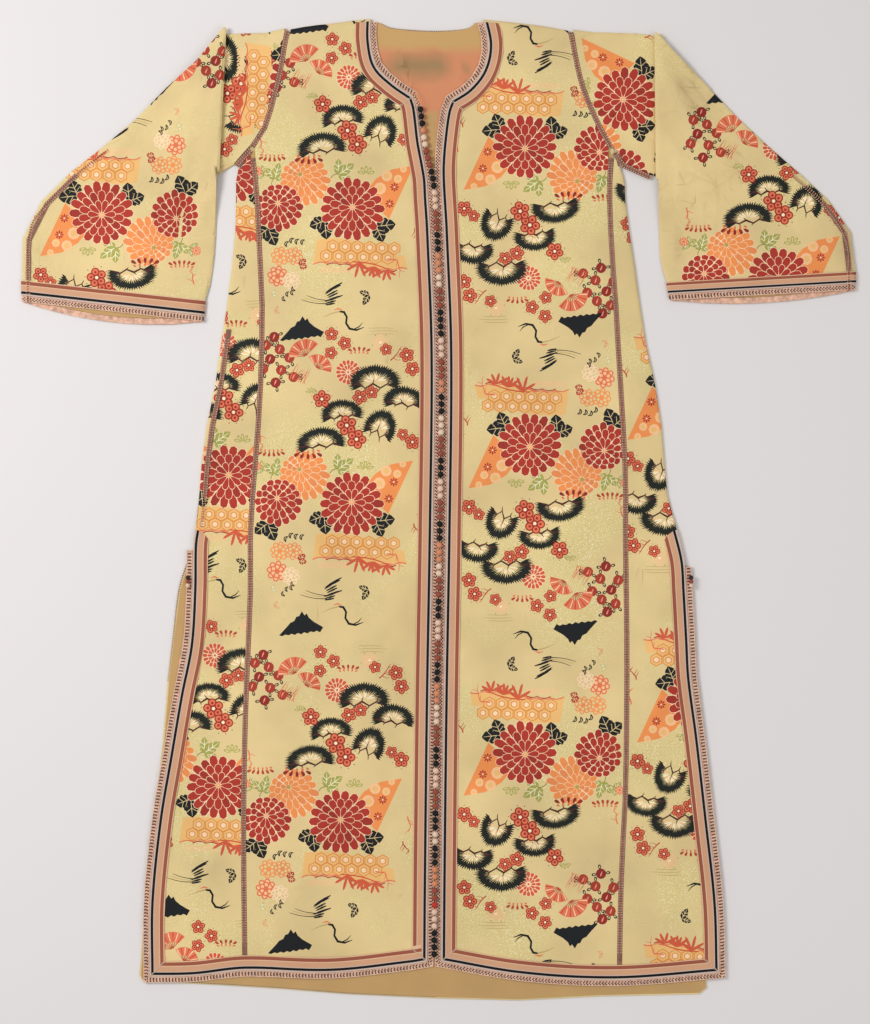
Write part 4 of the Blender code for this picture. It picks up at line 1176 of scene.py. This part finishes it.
def wovenMaterial(name, weave, roughness, bumpDepth, washSize=9.0, washDepth=0.12, fleckShare=0.0):
    # Thread colours come from the mesh; the threads themselves are two crossed waves.
    material, tree, shader = startMaterial(name, Roughness=roughness, Specular_IOR_Level=0.2)
    place = addNode(tree, "ShaderNodeTexCoord").outputs["Object"]
    ink = addNode(tree, "ShaderNodeAttribute", attribute_name="threadColour")
    wash = addNode(tree, "ShaderNodeTexNoise", {"Vector": place, "Scale": washSize, "Detail": 3.0})
    washRange = addNode(tree, "ShaderNodeMapRange",
                        {"Value": wash.outputs["Fac"], "From Min": 0.3, "From Max": 0.7,
                                                     "To Min": 1.0 - washDepth, "To Max": 1.0 + washDepth})
    shaded = addNode(tree, "ShaderNodeVectorMath", {0: ink.outputs["Color"], 1: washRange.outputs["Result"]},
                     operation="MULTIPLY")
    colour = shaded.outputs["Vector"]
    if fleckShare:
        colour = cloudedGround(tree, place, ink, colour, fleckShare)
    tree.links.new(colour, shader.inputs["Base Color"])
    warp = addNode(tree, "ShaderNodeTexWave", {"Vector": place, "Scale": weave, "Distortion": 0.6,
                                               "Detail": 1.0}, bands_direction="X")
    weft = addNode(tree, "ShaderNodeTexWave", {"Vector": place, "Scale": weave * 0.9, "Distortion": 0.6,
                                               "Detail": 1.0}, bands_direction="DIAGONAL")
    cross = addNode(tree, "ShaderNodeMath", {0: warp.outputs["Fac"], 1: weft.outputs["Fac"]},
                    operation="ADD")
    bump = addNode(tree, "ShaderNodeBump", {"Height": cross.outputs["Value"], "Strength": 0.35,
                                            "Distance": bumpDepth})
    tree.links.new(bump.outputs["Normal"], shader.inputs["Normal"])
    return material


# A wave scale of 330 gives ribs about 1 mm apart, three times the real thread spacing, so that they show.
# Silk brocade: a softly lit gold ground, clouded, with pale flecks woven into parts of it.
brocade = wovenMaterial("silkBrocade", 330.0, 0.55, 0.0004, fleckShare=0.7)
# Cotton sateen of the linings: smooth and matt.
sateen = wovenMaterial("cottonSateen", 420.0, 0.75, 0.0002, washSize=14.0, washDepth=0.06)
# Woven silk band: ribbed, with little shine.
bandSilk = wovenMaterial("wovenSilkBand", 300.0, 0.7, 0.0006, washDepth=0.05)
# Needle lace of twisted thread: matt, and shaded unevenly where threads cross.
laceThread = wovenMaterial("laceThread", 500.0, 0.8, 0.0005, washSize=160.0, washDepth=0.3)


def threadMaterial(name, hexText):
    # Twisted silk thread of stitches and knots: dull, with a faint gloss.
    return startMaterial(name, Roughness=0.65, Specular_IOR_Level=0.25, Base_Color=linearColour(hexText))[0]


threads = {
    "dark": threadMaterial("darkBrownThread", "#33211F"),
    "black": threadMaterial("blackThread", "#0E0F13"),
    "pink": threadMaterial("pinkThread", "#DDBBA6"),
    "rust": threadMaterial("rustThread", "#8E4636"),
    "cream": threadMaterial("creamThread", "#DCC3AB"),
    "salmon": threadMaterial("salmonThread", "#CC8460"),
    "brightRed": threadMaterial("brightRedThread", "#B8322A"),
}

silks.update({
    "bandSalmon": "#D09E7C",
    "bandRust": "#9A5540",
    "bandPink": "#DDB795",
    "bandBlack": "#0B0A0D",
    "bandLilac": "#CBB5A8",
    "netShadow": "#DDB098",
    "netDark": "#8A6254",
    "liningTan": "#BD9865",
    "liningGrey": "#A08059",
    "liningGold": "#C69E67",
    "liningSalmon": "#D08A64",
})


def frontRelief(x, y, z, level):
    return level + creaseRelief(x, y, creases["front"]) * smoothStep((z - 1.5) / 1.5)


def sleeveRelief(x, y, z, level):
    return 1.3 * creaseRelief(x, y, creases["sleeve"]) * smoothStep((z - 1.2) / 1.5)


def liningRelief(x, y, z, level):
    return creaseRelief(x, y, creases["lining"]) * smoothStep((z - 2.0) / 0.7)


def noRelief(x, y, z, level):
    return 0.0 * x


def motifsAt(anchors):
    shapes = []
    for x, y, angle in anchors:
        shapes += repeatAt(x, y, angle)
    return shapes


def titleCase(node):
    first, *rest = node.split("_")
    return first + "".join(word.capitalize() for word in rest)


def joinedLines(*lines):
    path = []
    for line in lines:
        for point in line:
            if not path or (point - path[-1]).length > 0.05:
                path.append(point)
    return path


def edgePath(side):
    # The cut edge of the garment, from the shoulder by neck, front and hem to the top of the slit.
    parts = [Line(side[key]).samples for key in ("neck", "front", "hem")]
    return joinedLines(*parts, list(reversed(Line(side["slit"]).samples)))


# Lace and ladder seams: a netted strip, and rows of stitches set along it by geometry nodes


def stitchTree():
    tree = bpy.data.node_groups.new("stitchRow", "GeometryNodeTree")
    inputs = {}
    for name, kind in (("Path", "NodeSocketGeometry"), ("Spacing", "NodeSocketFloat"),
                       ("Stitch Size", "NodeSocketVector"), ("Turn", "NodeSocketFloat"),
                       ("Thread", "NodeSocketMaterial")):
        inputs[name] = tree.interface.new_socket(name, in_out="INPUT", socket_type=kind).identifier
    tree.interface.new_socket("Stitches", in_out="OUTPUT", socket_type="NodeSocketGeometry")
    entry = addNode(tree, "NodeGroupInput")
    curve = addNode(tree, "GeometryNodeMeshToCurve", {"Mesh": entry.outputs["Path"]})
    spots = addNode(tree, "GeometryNodeCurveToPoints",
                    {"Curve": curve.outputs["Curve"], "Length": entry.outputs["Spacing"]},
                    mode="LENGTH")
    ball = addNode(tree, "GeometryNodeMeshIcoSphere", {"Radius": 0.5, "Subdivisions": 1})
    aim = addNode(tree, "FunctionNodeAlignRotationToVector", {"Vector": spots.outputs["Tangent"]}, axis="X",
                  pivot_axis="Z")
    spin = addNode(tree, "ShaderNodeCombineXYZ", {"Z": entry.outputs["Turn"]})
    turnBy = addNode(tree, "FunctionNodeEulerToRotation", {"Euler": spin.outputs["Vector"]})
    both = addNode(tree, "FunctionNodeRotateRotation", {"Rotation": aim.outputs["Rotation"],
                                                        "Rotate By": turnBy.outputs["Rotation"]},
                                                        rotation_space="LOCAL")
    placed = addNode(tree, "GeometryNodeInstanceOnPoints",
                     {"Points": spots.outputs["Points"], "Instance": ball.outputs["Mesh"],
                                                            "Rotation": both.outputs["Rotation"],
                                                            "Scale": entry.outputs["Stitch Size"]})
    plain = addNode(tree, "GeometryNodeRealizeInstances", {"Geometry": placed.outputs["Instances"]})
    dyed = addNode(tree, "GeometryNodeSetMaterial",
                   {"Geometry": plain.outputs["Geometry"], "Material": entry.outputs["Thread"]})
    addNode(tree, "NodeGroupOutput", {"Stitches": dyed.outputs["Geometry"]})
    return tree, inputs


stitches, stitchInputs = stitchTree()


def stitchRow(path, spacing, size, thread, turn=0.0):
    # path holds x, y, z points; size is along, across and up.
    mesh = bpy.data.meshes.new("stitchPath")
    mesh.from_pydata([Vector(p) * mm for p in path], [(i, i + 1) for i in range(len(path) - 1)], [])
    holder = bpy.data.objects.new("stitchPath", mesh)
    bpy.context.scene.collection.objects.link(holder)
    modifier = holder.modifiers.new("stitches", "NODES")
    modifier.node_group = stitches
    modifier[stitchInputs["Spacing"]] = spacing * mm
    modifier[stitchInputs["Stitch Size"]] = [v * mm for v in size]
    modifier[stitchInputs["Turn"]] = turn
    modifier[stitchInputs["Thread"]] = thread
    result = bpy.data.meshes.new_from_object(holder.evaluated_get(bpy.context.evaluated_depsgraph_get()))
    bpy.data.objects.remove(holder, do_unlink=True)
    return result


def joinedPiece(name, meshes):
    # One piece from several meshes, each material kept.
    net = bmesh.new()
    materials = []
    for mesh in meshes:
        start = len(net.faces)
        net.from_mesh(mesh)
        net.faces.ensure_lookup_table()
        slots = []
        for material in mesh.materials:
            if material not in materials:
                materials.append(material)
            slots.append(materials.index(material))
        for face in net.faces[start:]:
            face.material_index = slots[min(face.material_index, len(slots) - 1)]
    whole = bpy.data.meshes.new(name)
    net.to_mesh(whole)
    net.free()
    for material in materials:
        whole.materials.append(material)
    whole.shade_smooth()
    piece = bpy.data.objects.new(name, whole)
    bpy.context.scene.collection.objects.link(piece)
    return piece


def raisedPath(path, above, spacing=6.0):
    points = evenPath(path, spacing)
    heights = frontHeight(points)
    return [(p.x, p.y, h + above) for p, h in zip(points, heights)]


lace = {
    "inset": 0.3,
    "cuffLevel": 5.9,
    "mitrePitch": 2.0,
    "mitreStitch": (1.3, 3.4, 1.2),
    "rows": [
        # across from the edge, pitch, phase, size along, across and up, thread
        (0.8, 3.1, 0.0, (2.3, 1.4, 1.3), "pink"),
        (2.5, 4.6, 0.0, (2.9, 2.0, 1.3), "dark"),
        (4.4, 4.6, 0.5, (2.9, 2.0, 1.3), "dark"),
        (6.3, 4.6, 0.0, (2.9, 2.0, 1.3), "dark"),
        (7.9, 3.1, 0.5, (2.4, 1.5, 1.3), "cream"),
    ],
    "cuffRows": [
        (1.0, 3.1, 0.0, (2.2, 1.5, 1.3), "pink"),
        (2.9, 4.6, 0.5, (2.9, 2.0, 1.3), "dark"),
        (4.8, 4.6, 0.0, (2.9, 2.0, 1.3), "dark"),
        (6.7, 4.6, 0.5, (2.9, 2.0, 1.3), "dark"),
        (8.3, 3.1, 0.0, (2.2, 1.5, 1.3), "cream"),
    ],
}


def laceRows(path, turn, above):
    # Thread loops at both rims of a pale netted strip, and staggered dark dots between them.
    result = []
    for across, pitch, phase, size, thread in lace["rows"]:
        line = offsetPath(path, turn * (lace["inset"] + across))
        run = (line[1] - line[0]).normalized()
        kept = [p for p in line if (p - line[0]).dot(run) > pitch or p.y < line[0].y - 9]
        line = [line[0] + run * pitch * phase] + kept
        result.append(stitchRow(raisedPath(line, above), pitch, size, threads[thread]))
    return result


def mitreSeams(side):
    # Whipped seams across the bands where they turn a corner.
    path = edgePath(side)
    inner = offsetPath(path, side["outward"] * cloth["bandWidth"])
    rows = []
    for corner in (side["front"][0], side["hem"][0], side["hem"][-1]):
        i = min(range(len(path)), key=lambda k: (path[k] - Vector(corner)).length)
        line = evenPath([path[i], inner[i]], 3.0)
        rows.append(stitchRow(raisedPath(line, 2.95, 3.0), lace["mitrePitch"], lace["mitreStitch"],
                              threads["cream"]))
    return rows


for side in sides:
    node = f"edging_{side['node']}"
    base = patternedMesh(titleCase(node) + "Net", node, lambda middle: [], frontRelief, laceThread,
                         spacing=cutting["coarse"], ground="netShadow")
    path = edgePath(side)
    # From just under the shoulder to where the lace beside the slit ends.
    path = [p for i, p in enumerate(path) if (i < len(path) * 0.6 and p.y < 706) or p.y < side["slitLaceTop"]]
    rows = laceRows(path, -side["outward"], cloth["edgingLift"] + cloth["edgingWall"])
    rows += mitreSeams(side)
    piece = joinedPiece(titleCase(node), [base.data] + rows)
    bpy.data.objects.remove(base, do_unlink=True)
    finishPiece(piece, "lace", node)


def cuffPath(side, beyond):
    ends = []
    for near, far in ((Line(side["sleeveTop"]).at(1.0), Vector(side["cuff"][:2])),
                      (Line(side["sleeveUnder"]).at(1.0), Vector(side["cuff"][2:]))):
        ends.append(far + (far - near).normalized() * beyond)
    return ends


for side in sides:
    node = f"cuff_edging_{side['node']}"
    base = patternedMesh(titleCase(node) + "Net", node, lambda middle: [], noRelief, laceThread,
                         spacing=cutting["coarse"], ground="netShadow")
    rows = []
    for across, pitch, phase, size, thread in lace["cuffRows"]:
        line = cuffPath(side, across)
        line[0] = line[0] + (line[1] - line[0]).normalized() * (2.0 + pitch * phase)
        raised = [(p.x, p.y, lace["cuffLevel"]) for p in evenPath(line, 6.0)]
        rows.append(stitchRow(raised, pitch, size, threads[thread]))
    piece = joinedPiece(titleCase(node), [base.data] + rows)
    bpy.data.objects.remove(base, do_unlink=True)
    finishPiece(piece, "lace", node)


ladder = {
    "pitch": 3.6,
    "rows": [
        # across from the middle, size along, across and up, thread, slant
        (-2.3, (2.2, 1.6, 1.3), "pink", 0.5),
        (2.3, (2.2, 1.6, 1.3), "pink", -0.5),
        (0.0, (1.2, 4.0, 1.2), "salmon", 0.35),
        (-0.9, (1.1, 2.4, 1.6), "dark", -0.6),
    ],
}


def ladderPiece(node, path, heights, relief):
    # Two twisted rims with pale and dark rungs between them.
    base = patternedMesh(titleCase(node) + "Net", node, lambda middle: [], relief, laceThread,
                         spacing=cutting["coarse"], ground="netDark")
    rows = []
    for across, size, thread, slant in ladder["rows"]:
        line = evenPath(offsetPath(path, across) if across else path, 6.0)
        raised = [(p.x, p.y, z) for p, z in zip(line, heights(line))]
        rows.append(stitchRow(raised, ladder["pitch"], size, threads[thread], slant))
    piece = joinedPiece(titleCase(node), [base.data] + rows)
    bpy.data.objects.remove(base, do_unlink=True)
    return finishPiece(piece, "ladder", node)


def nodeHeights(node):
    # Height of the solid's upper side, looked up from above.
    points, faces = nodeTriangles(node)
    tree = BVHTree.FromPolygons([Vector(p) for p in points], faces)

    def heightsOf(path):
        found = []
        for p in path:
            hit = tree.ray_cast(Vector((p.x, p.y, 100.0)), Vector((0, 0, -1)))[0]
            found.append(hit.z if hit else None)
        known = [z for z in found if z is not None] or [4.6]
        for i, z in enumerate(found):
            if z is None:
                found[i] = found[i - 1] if i else known[0]
        return found
    return heightsOf


def seamPaths(side):
    turn = side["outward"]
    half = cloth["gap"] + cloth["ladderWidth"] / 2
    seam = [p for p in Line(side["seam"]).samples if p.y > -647]   # ends where the hem band starts
    armhole = offsetPath(Line(side["armhole"]).samples, half * turn)
    underarm = offsetPath([Vector(p) for p in side["underarm"]], -half * turn)
    sleeveTop = Line(side["sleeveTop"])
    inset = 9.5
    start = side["sleeveSeamFrom"]
    sleeve = [sleeveTop.at(start + (1 - start) * k / 30) for k in range(31)]
    sleeve += [sleeve[-1].lerp(cuffPath(side, 9.0)[0], t) for t in (0.5, 1.0)]
    sleeve = offsetPath(sleeve, -inset if turn > 0 else inset)
    return {"gore_seam": seam, "armhole_seam": armhole, "underarm_seam": underarm, "sleeve_seam": sleeve}


for side in sides:
    for part, path in seamPaths(side).items():
        node = f"{part}_{side['node']}"
        low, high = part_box(node)
        onSleeve = part == "sleeve_seam"
        if not onSleeve:
            path = [p for p in path if low.y / mm + 1 < p.y < high.y / mm - 1]
        measured = nodeHeights(node)
        table = creases["sleeve" if onSleeve else "front"]

        def creased(line):
            relief = creaseRelief(np.array([p.x for p in line]), np.array([p.y for p in line]), table)
            return [z + r for z, r in zip(measured(line), relief)]
        ladderPiece(node, path, creased, sleeveRelief if onSleeve else frontRelief)
sideSeam = [Vector((x + 8.5, y)) for x, y in leftSide["side"] if y < 262]
ladderPiece("side_seam_left", offsetPath(sideSeam, 0.01), nodeHeights("side_seam_left"), noRelief)


# Knot buttons: balls of wound thread in groups of one colour


def woundBall(radius, heightRadius, segments=14, rings=9):
    points = []
    faces = []
    for r in range(rings + 1):
        polar = math.pi * r / rings
        for s in range(segments):
            around = 2 * math.pi * s / segments
            ridge = 1.0 + 0.035 * math.cos(4 * around + 5 * polar)
            x = radius * ridge * math.cos(polar)
            y = radius * ridge * math.sin(polar) * math.cos(around)
            points.append((x, y, heightRadius * math.sin(polar) * math.sin(around)))
    for r in range(rings):
        for s in range(segments):
            t = (s + 1) % segments
            faces.append([r * segments + s, r * segments + t, (r + 1) * segments + t,
                          (r + 1) * segments + s])
    return points, faces


def knotPiece(name, node, path, pitch, colours, radius, heightRadius, bottom, slotName):
    line = evenPath(path, pitch)
    points, faces = woundBall(radius, heightRadius)
    allPoints = []
    allFaces = []
    materials = [threads[c] for c in dict.fromkeys(colours)]
    faceMaterials = []
    levels = frontHeight(line)
    for k in range(len(line) - 1):
        centre = (line[k] + line[k + 1]) / 2
        along = (line[k + 1] - line[k]).normalized()
        start = len(allPoints)
        colour = threads[colours[min(k, len(colours) - 1)]]
        for x, y, z in points:
            allPoints.append((centre.x + along.x * x - along.y * y, centre.y + along.y * x + along.x * y,
                              levels[k] - cloth["frontLevel"] + bottom + heightRadius + z))
        allFaces += [[start + i for i in face] for face in faces]
        faceMaterials += [materials.index(colour)] * len(faces)
    piece = meshPiece(name, allPoints, allFaces, materials, faceMaterials, sharpAngle=80)
    return finishPiece(piece, slotName, node)


knots = {
    "pitch": 10.2,
    "radius": 4.35,
    "rise": 3.5,
    "underside": 5.0,
    "slitPitch": 6.0,
    "slitRadius": 3.2,
}
knotGroups = [
    ("black", 3), ("salmon", 1), ("cream", 2), ("rust", 3), ("black", 3), ("pink", 3), ("rust", 3),
    ("black", 3), ("salmon", 3), ("cream", 2), ("rust", 3), ("black", 4), ("pink", 3), ("rust", 3),
    ("salmon", 2), ("black", 3), ("cream", 3), ("rust", 3), ("black", 3), ("pink", 3), ("rust", 3),
    ("black", 3), ("salmon", 3), ("cream", 2), ("rust", 3), ("black", 3), ("pink", 3), ("rust", 3),
    ("black", 3), ("salmon", 3), ("cream", 3), ("rust", 3), ("black", 3), ("pink", 3), ("rust", 3),
    ("black", 3), ("cream", 2), ("black", 3), ("salmon", 3), ("rust", 2), ("brightRed", 1), ("pink", 3),
    ("black", 2),
]
knotColours = [colour for colour, count in knotGroups for _ in range(count)]
leftFront = Line(leftSide["front"])
knotPath = []   # follows the left front at first, then the middle between the two fronts
for y in (583, 557, 531, 505, 477, 440, 405, 350, 225, 100, -36, -150, -268, -400, -529, -649):
    share = float(smoothStep((531 - y) / 81))
    knotPath.append((leftFront.crossing(1, y + cloth["shift"][1]).x + 6.0 + (19.7 / 2 - 6.0) * share,
                     y + cloth["shift"][1]))
knotPiece("buttonRow", "button_row", Line(knotPath).samples, knots["pitch"], knotColours, knots["radius"],
          knots["rise"], knots["underside"], "knots")
for side in sides:
    node = f"slit_knot_{side['node']}"
    low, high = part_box(node)
    middle = (low + high) / 2 / mm
    reach = (high.y - low.y) / mm / 2 - 0.3
    path = [Vector((middle.x, middle.y + reach)), Vector((middle.x, middle.y - reach))]
    knotPiece(titleCase(node), node, path, knots["slitPitch"], ["dark", "rust", "pink"], knots["slitRadius"],
              knots["slitRadius"], knots["underside"], "lace")


# Fine edge stitches of the back, round the neck, under the hem and beside the left slit


backEdges = {
    "neck": [(-84, 703), (-71, 697), (-40, 693.5), (-6, 692), (25, 693.5), (44, 697), (52, 703)],
    "hem": [(-427, -682), (-315, -688), (-235, -693), (-133, -701), (-6, -707)],
    "slit": [(-366, -80), (-377, -117), (-386, -190), (-393, -248)],
}
rows = []
for points in backEdges.values():
    line = [p + Vector(cloth["shift"]) for p in Line(points).samples]
    for phase, thread in ((0.0, "dark"), (0.5, "pink")):
        start = line[0].lerp(line[1], 0.1 + phase)
        raised = [(p.x, p.y, 2.2) for p in evenPath([start] + line[1:], 4.0)]
        rows.append(stitchRow(raised, 3.4, (1.7, 2.2, 1.5), threads[thread]))
finishPiece(joinedPiece("backEdgeStitches", rows), "lace")


# Brocade panels, gores and sleeves


anchors = {
    "front_panel_left": [(-118, 878, 0), (-125, 435, 0), (-126, 8, 0), (-142, -452, 0)],
    "front_panel_right": [(125, 972, 180), (125, 526, 180), (132, 94, 180), (125, -351, 180),
                          (125, -790, 180)],
    "side_gore_left": [(-304, 487, 0), (-304, 47, 0), (-319, -402, 0), (-319, -850, 0)],
    "side_gore_right": [(362, 610, 180), (362, 164, 180), (376, -274, 180), (376, -716, 180)],
    "sleeve_left": [(-488, 430, 180), (-440, 858, 180), (-488, -10, 180)],
    "sleeve_right": [(492, 333, 0), (492, 778, 0), (492, -110, 0)],
}
headAnchors = {"sleeve_left": [(-400, 610, -90), (-200, 620, -90)], "sleeve_right": [(270, 594, 90)]}


def sleeveMotifs(node):
    return lambda middle: motifsAt(headAnchors[node] if abs(middle[0]) < 330 else anchors[node])


for node in ("front_panel_left", "front_panel_right", "side_gore_left", "side_gore_right"):
    piece = patternedMesh(titleCase(node), node, lambda middle: motifsAt(anchors[node]), frontRelief,
                          brocade)
    finishPiece(piece, "brocade", node)
for node in ("sleeve_left", "sleeve_right"):
    piece = patternedMesh(titleCase(node), node, sleeveMotifs(node), sleeveRelief, brocade, smoothing=6)
    finishPiece(piece, "brocade", node)
backAnchors = [(x, y, 0) for x in (-290, 0, 290) for y in (560, 113, -334, -780)]


def largeShapes(shapes, least):
    # The underside is seldom seen, so only the larger parts of each motif are cut there.
    kept = []
    for outline, colour in shapes:
        x0, x1, y0, y1 = boxOf(outline)
        if (x1 - x0) * (y1 - y0) > least:
            kept.append((outline, colour))
    return kept


leastShape = 75.0   # square millimetres of its box
piece = patternedMesh("backPanel", "back_panel", lambda middle: largeShapes(motifsAt(backAnchors),
    leastShape),
                      noRelief, brocade, spacing=15, facing=-1)
finishPiece(piece, "brocade", "back_panel")


# Tan linings


def sateenMaterial():
    # Tan cotton with salmon, darker grey and gold zones round the neck and a tan strip down the middle, each
    # zone soft at its edges.
    material = wovenMaterial("cottonSateen", 420.0, 0.75, 0.0002, washSize=14.0, washDepth=0.06)
    tree = material.node_tree
    shader = tree.nodes["Principled BSDF"]
    colour = shader.inputs["Base Color"].links[0].from_socket
    place = addNode(tree, "ShaderNodeTexCoord").outputs["Object"]
    wander = addNode(tree, "ShaderNodeTexNoise", {"Vector": place, "Scale": 28.0, "Detail": 2.0})
    bend = addNode(tree, "ShaderNodeVectorMath", {0: wander.outputs["Color"], 3: 0.016}, operation="SCALE")
    moved = addNode(tree, "ShaderNodeVectorMath", {0: place, 1: bend.outputs["Vector"]}, operation="ADD")
    axes = addNode(tree, "ShaderNodeSeparateXYZ", {"Vector": moved.outputs["Vector"]})
    zones = [
        # lowest x, highest x, lowest y, highest y, soft edge, colour
        (-130, 110, 480, 800, 12, "liningSalmon"),
        (-76, 34, 624, 678, 24, "liningGrey"),
        (38, 56, 636, 664, 12, "liningGrey"),
        (-130, 110, 668, 800, 14, "liningGold"),
        (-14, 14, 300, 590, 10, "liningTan"),
    ]
    for x0, x1, y0, y1, soft, tone in zones:
        edges = []
        for axis, first, second in (("X", x0, x0 + soft), ("X", x1, x1 - soft), ("Y", y0, y0 + soft),
                                    ("Y", y1, y1 - soft)):
            ramp = addNode(tree, "ShaderNodeMapRange",
                           {"Value": axes.outputs[axis], "From Min": first * mm, "From Max": second * mm})
            edges.append(ramp.outputs["Result"])
        mask = edges[0]
        for edge in edges[1:]:
            mask = addNode(tree, "ShaderNodeMath", {0: mask, 1: edge}, operation="MULTIPLY").outputs["Value"]
        mixed = addNode(tree, "ShaderNodeMix", {"Factor": mask}, data_type="RGBA")
        tree.links.new(colour, mixed.inputs["A"])
        mixed.inputs["B"].default_value = linearColour(silks[tone])
        colour = mixed.outputs["Result"]
    tree.links.new(colour, shader.inputs["Base Color"])
    return material


neckSateen = sateenMaterial()
piece = patternedMesh("backLining", "back_lining", lambda middle: [], liningRelief, neckSateen,
                      spacing=5.5, ground="liningTan")
finishPiece(piece, "lining", "back_lining")
for node in ("sleeve_lining_left", "sleeve_lining_right"):
    piece = patternedMesh(titleCase(node), node, lambda middle: [], noRelief, sateen, ground="liningTan")
    finishPiece(piece, "lining", node)


# Woven bands: stripes along the edge from the shoulder round to the top of the slit


stripeTable = [
    # from the edge, to the edge side, colour
    (0.0, 2.5, "bandLilac"),
    (2.5, 6.2, "bandBlack"),
    (6.2, 7.4, "bandLilac"),
    (7.4, 14.5, "bandSalmon"),
    (14.5, 15.8, "bandPink"),
    (15.8, 20.7, "bandRust"),
    (20.7, 25.5, "bandPink"),
]


def stripesAlong(path, turn):
    # Each stripe in short lengths, so that a tile meets only those near it.
    shapes = []
    for near, far, colour in stripeTable:
        outer = [complex(*p) for p in offsetPath(path, -turn * (near - (0.6 if near == 0 else 0)))]
        inner = [complex(*p) for p in offsetPath(path, -turn * far)]
        for i in range(0, len(path) - 1, 4):
            shapes.append((outer[i:i + 5] + inner[i:i + 5][::-1], colour))
    return shapes


def stripesAcrossCuff(side):
    start = [Line(side["sleeveTop"]).at(1.0), Line(side["sleeveUnder"]).at(1.0)]
    end = [Vector(side["cuff"][:2]), Vector(side["cuff"][2:])]
    away = (start[1] - start[0]).normalized() * 12
    shapes = []
    for near, far, colour in stripeTable:
        corners = []
        for distance in (near, far):
            share = 1 - distance / cloth["bandWidth"]
            if near == 0 and distance == 0:
                share = 1.4
            if far > cloth["bandWidth"] and distance == far:
                share = -0.4
            corners.append((start[0].lerp(end[0], share) - away, start[1].lerp(end[1], share) + away))
        (a, b), (c, d) = corners
        shapes.append(([complex(*p) for p in (a, b, d, c)], colour))
    return shapes


for side in sides:
    path = edgePath(side)
    stripes = stripesAlong(path, -side["outward"])
    for part in ("neck_band", "front_band", "hem_band", "slit_band"):
        node = f"{part}_{side['node']}"
        piece = patternedMesh(titleCase(node), node, lambda middle: stripes, frontRelief, bandSilk,
                              spacing=cutting["coarse"], ground="bandSalmon")
        finishPiece(piece, "band", node)
    node = f"cuff_band_{side['node']}"
    piece = patternedMesh(titleCase(node), node, lambda middle: stripesAcrossCuff(side), noRelief, bandSilk,
                          spacing=cutting["coarse"], ground="bandSalmon")
    finishPiece(piece, "band", node)


# What is cloth, and the size that each was cut to


cuts = {
    # node: width, length, area of the cut, how it lies, what it lies on
    "front_panel_left": (0.28, 1.385, 0.336, "laid", ["back_lining"]),
    "front_panel_right": (0.275, 1.385, 0.333, "laid", ["back_lining"]),
    "side_gore_left": (0.15, 1.18, 0.098, "laid", ["back_lining"]),
    "side_gore_right": (0.155, 1.18, 0.092, "laid", ["back_lining"]),
    "sleeve_left": (0.58, 0.56, 0.192, "folded", []),
    "sleeve_right": (0.58, 0.56, 0.188, "folded", []),
    "back_panel": (0.86, 1.405, 0.935, "laid", []),
    "back_lining": (0.855, 1.40, 0.925, "laid", ["back_panel"]),
    "sleeve_lining_left": (0.27, 0.055, None, "laid", ["sleeve_left"]),
    "sleeve_lining_right": (0.27, 0.05, None, "laid", ["sleeve_right"]),
}
for side in sides:
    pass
for node, (width, length, area, held, carriers) in cuts.items():
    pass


# Floor, light and camera


studio = {
    "floor": 3.4,
    "roomLight": 0.56,
    "windowWatts": 52,
    "fillWatts": 13,
    "cameraHeight": 3.0,
    "cameraMiddle": (-0.0053, -0.00335),
    "heightSeen": 1.4848,
}
floorSize = studio["floor"]
floorMesh = bpy.data.meshes.new("whiteCloth")
floorMesh.from_pydata([(-floorSize, -floorSize, 0), (floorSize, -floorSize, 0), (floorSize, floorSize, 0),
                       (-floorSize, floorSize, 0)], [], [(0, 1, 2, 3)])
floor = bpy.data.objects.new("whiteCloth", floorMesh)
floor.location.z = -0.0004
bpy.context.scene.collection.objects.link(floor)
# Plain white cotton, matt.
floorMesh.materials.append(startMaterial("whiteCotton", Roughness=0.9,
                                         Base_Color=linearColour("#DEDADA"))[0])

world = bpy.data.worlds.new("softRoom")
world.use_nodes = True
world.node_tree.nodes["Background"].inputs["Color"].default_value = (1.0, 0.99, 0.97, 1.0)
world.node_tree.nodes["Background"].inputs["Strength"].default_value = studio["roomLight"]
bpy.context.scene.world = world


def areaLight(name, place, target, size, watts):
    lamp = bpy.data.lights.new(name, "AREA")
    lamp.energy = watts
    lamp.size = size
    lampObject = bpy.data.objects.new(name, lamp)
    lampObject.location = place
    lampObject.rotation_euler = (Vector(target) - Vector(place)).to_track_quat("-Z", "Y").to_euler()
    bpy.context.scene.collection.objects.link(lampObject)


areaLight("windowLight", (-2.0, 0.8, 2.3), (0, 0, 0), 1.1, studio["windowWatts"])
areaLight("fillLight", (1.7, -0.8, 2.4), (0, 0, 0), 1.6, studio["fillWatts"])

cameraData = bpy.data.cameras.new("aboveTable")
cameraData.sensor_width = 36.0
cameraData.sensor_height = 36.0
cameraData.sensor_fit = "VERTICAL"
cameraData.lens = cameraData.sensor_height * studio["cameraHeight"] / studio["heightSeen"]
camera = bpy.data.objects.new("aboveTable", cameraData)
camera.location = (*studio["cameraMiddle"], studio["cameraHeight"])
bpy.context.scene.collection.objects.link(camera)
bpy.context.scene.camera = camera
bpy.context.scene.view_settings.view_transform = "Standard"

bpy.context.view_layer.update()
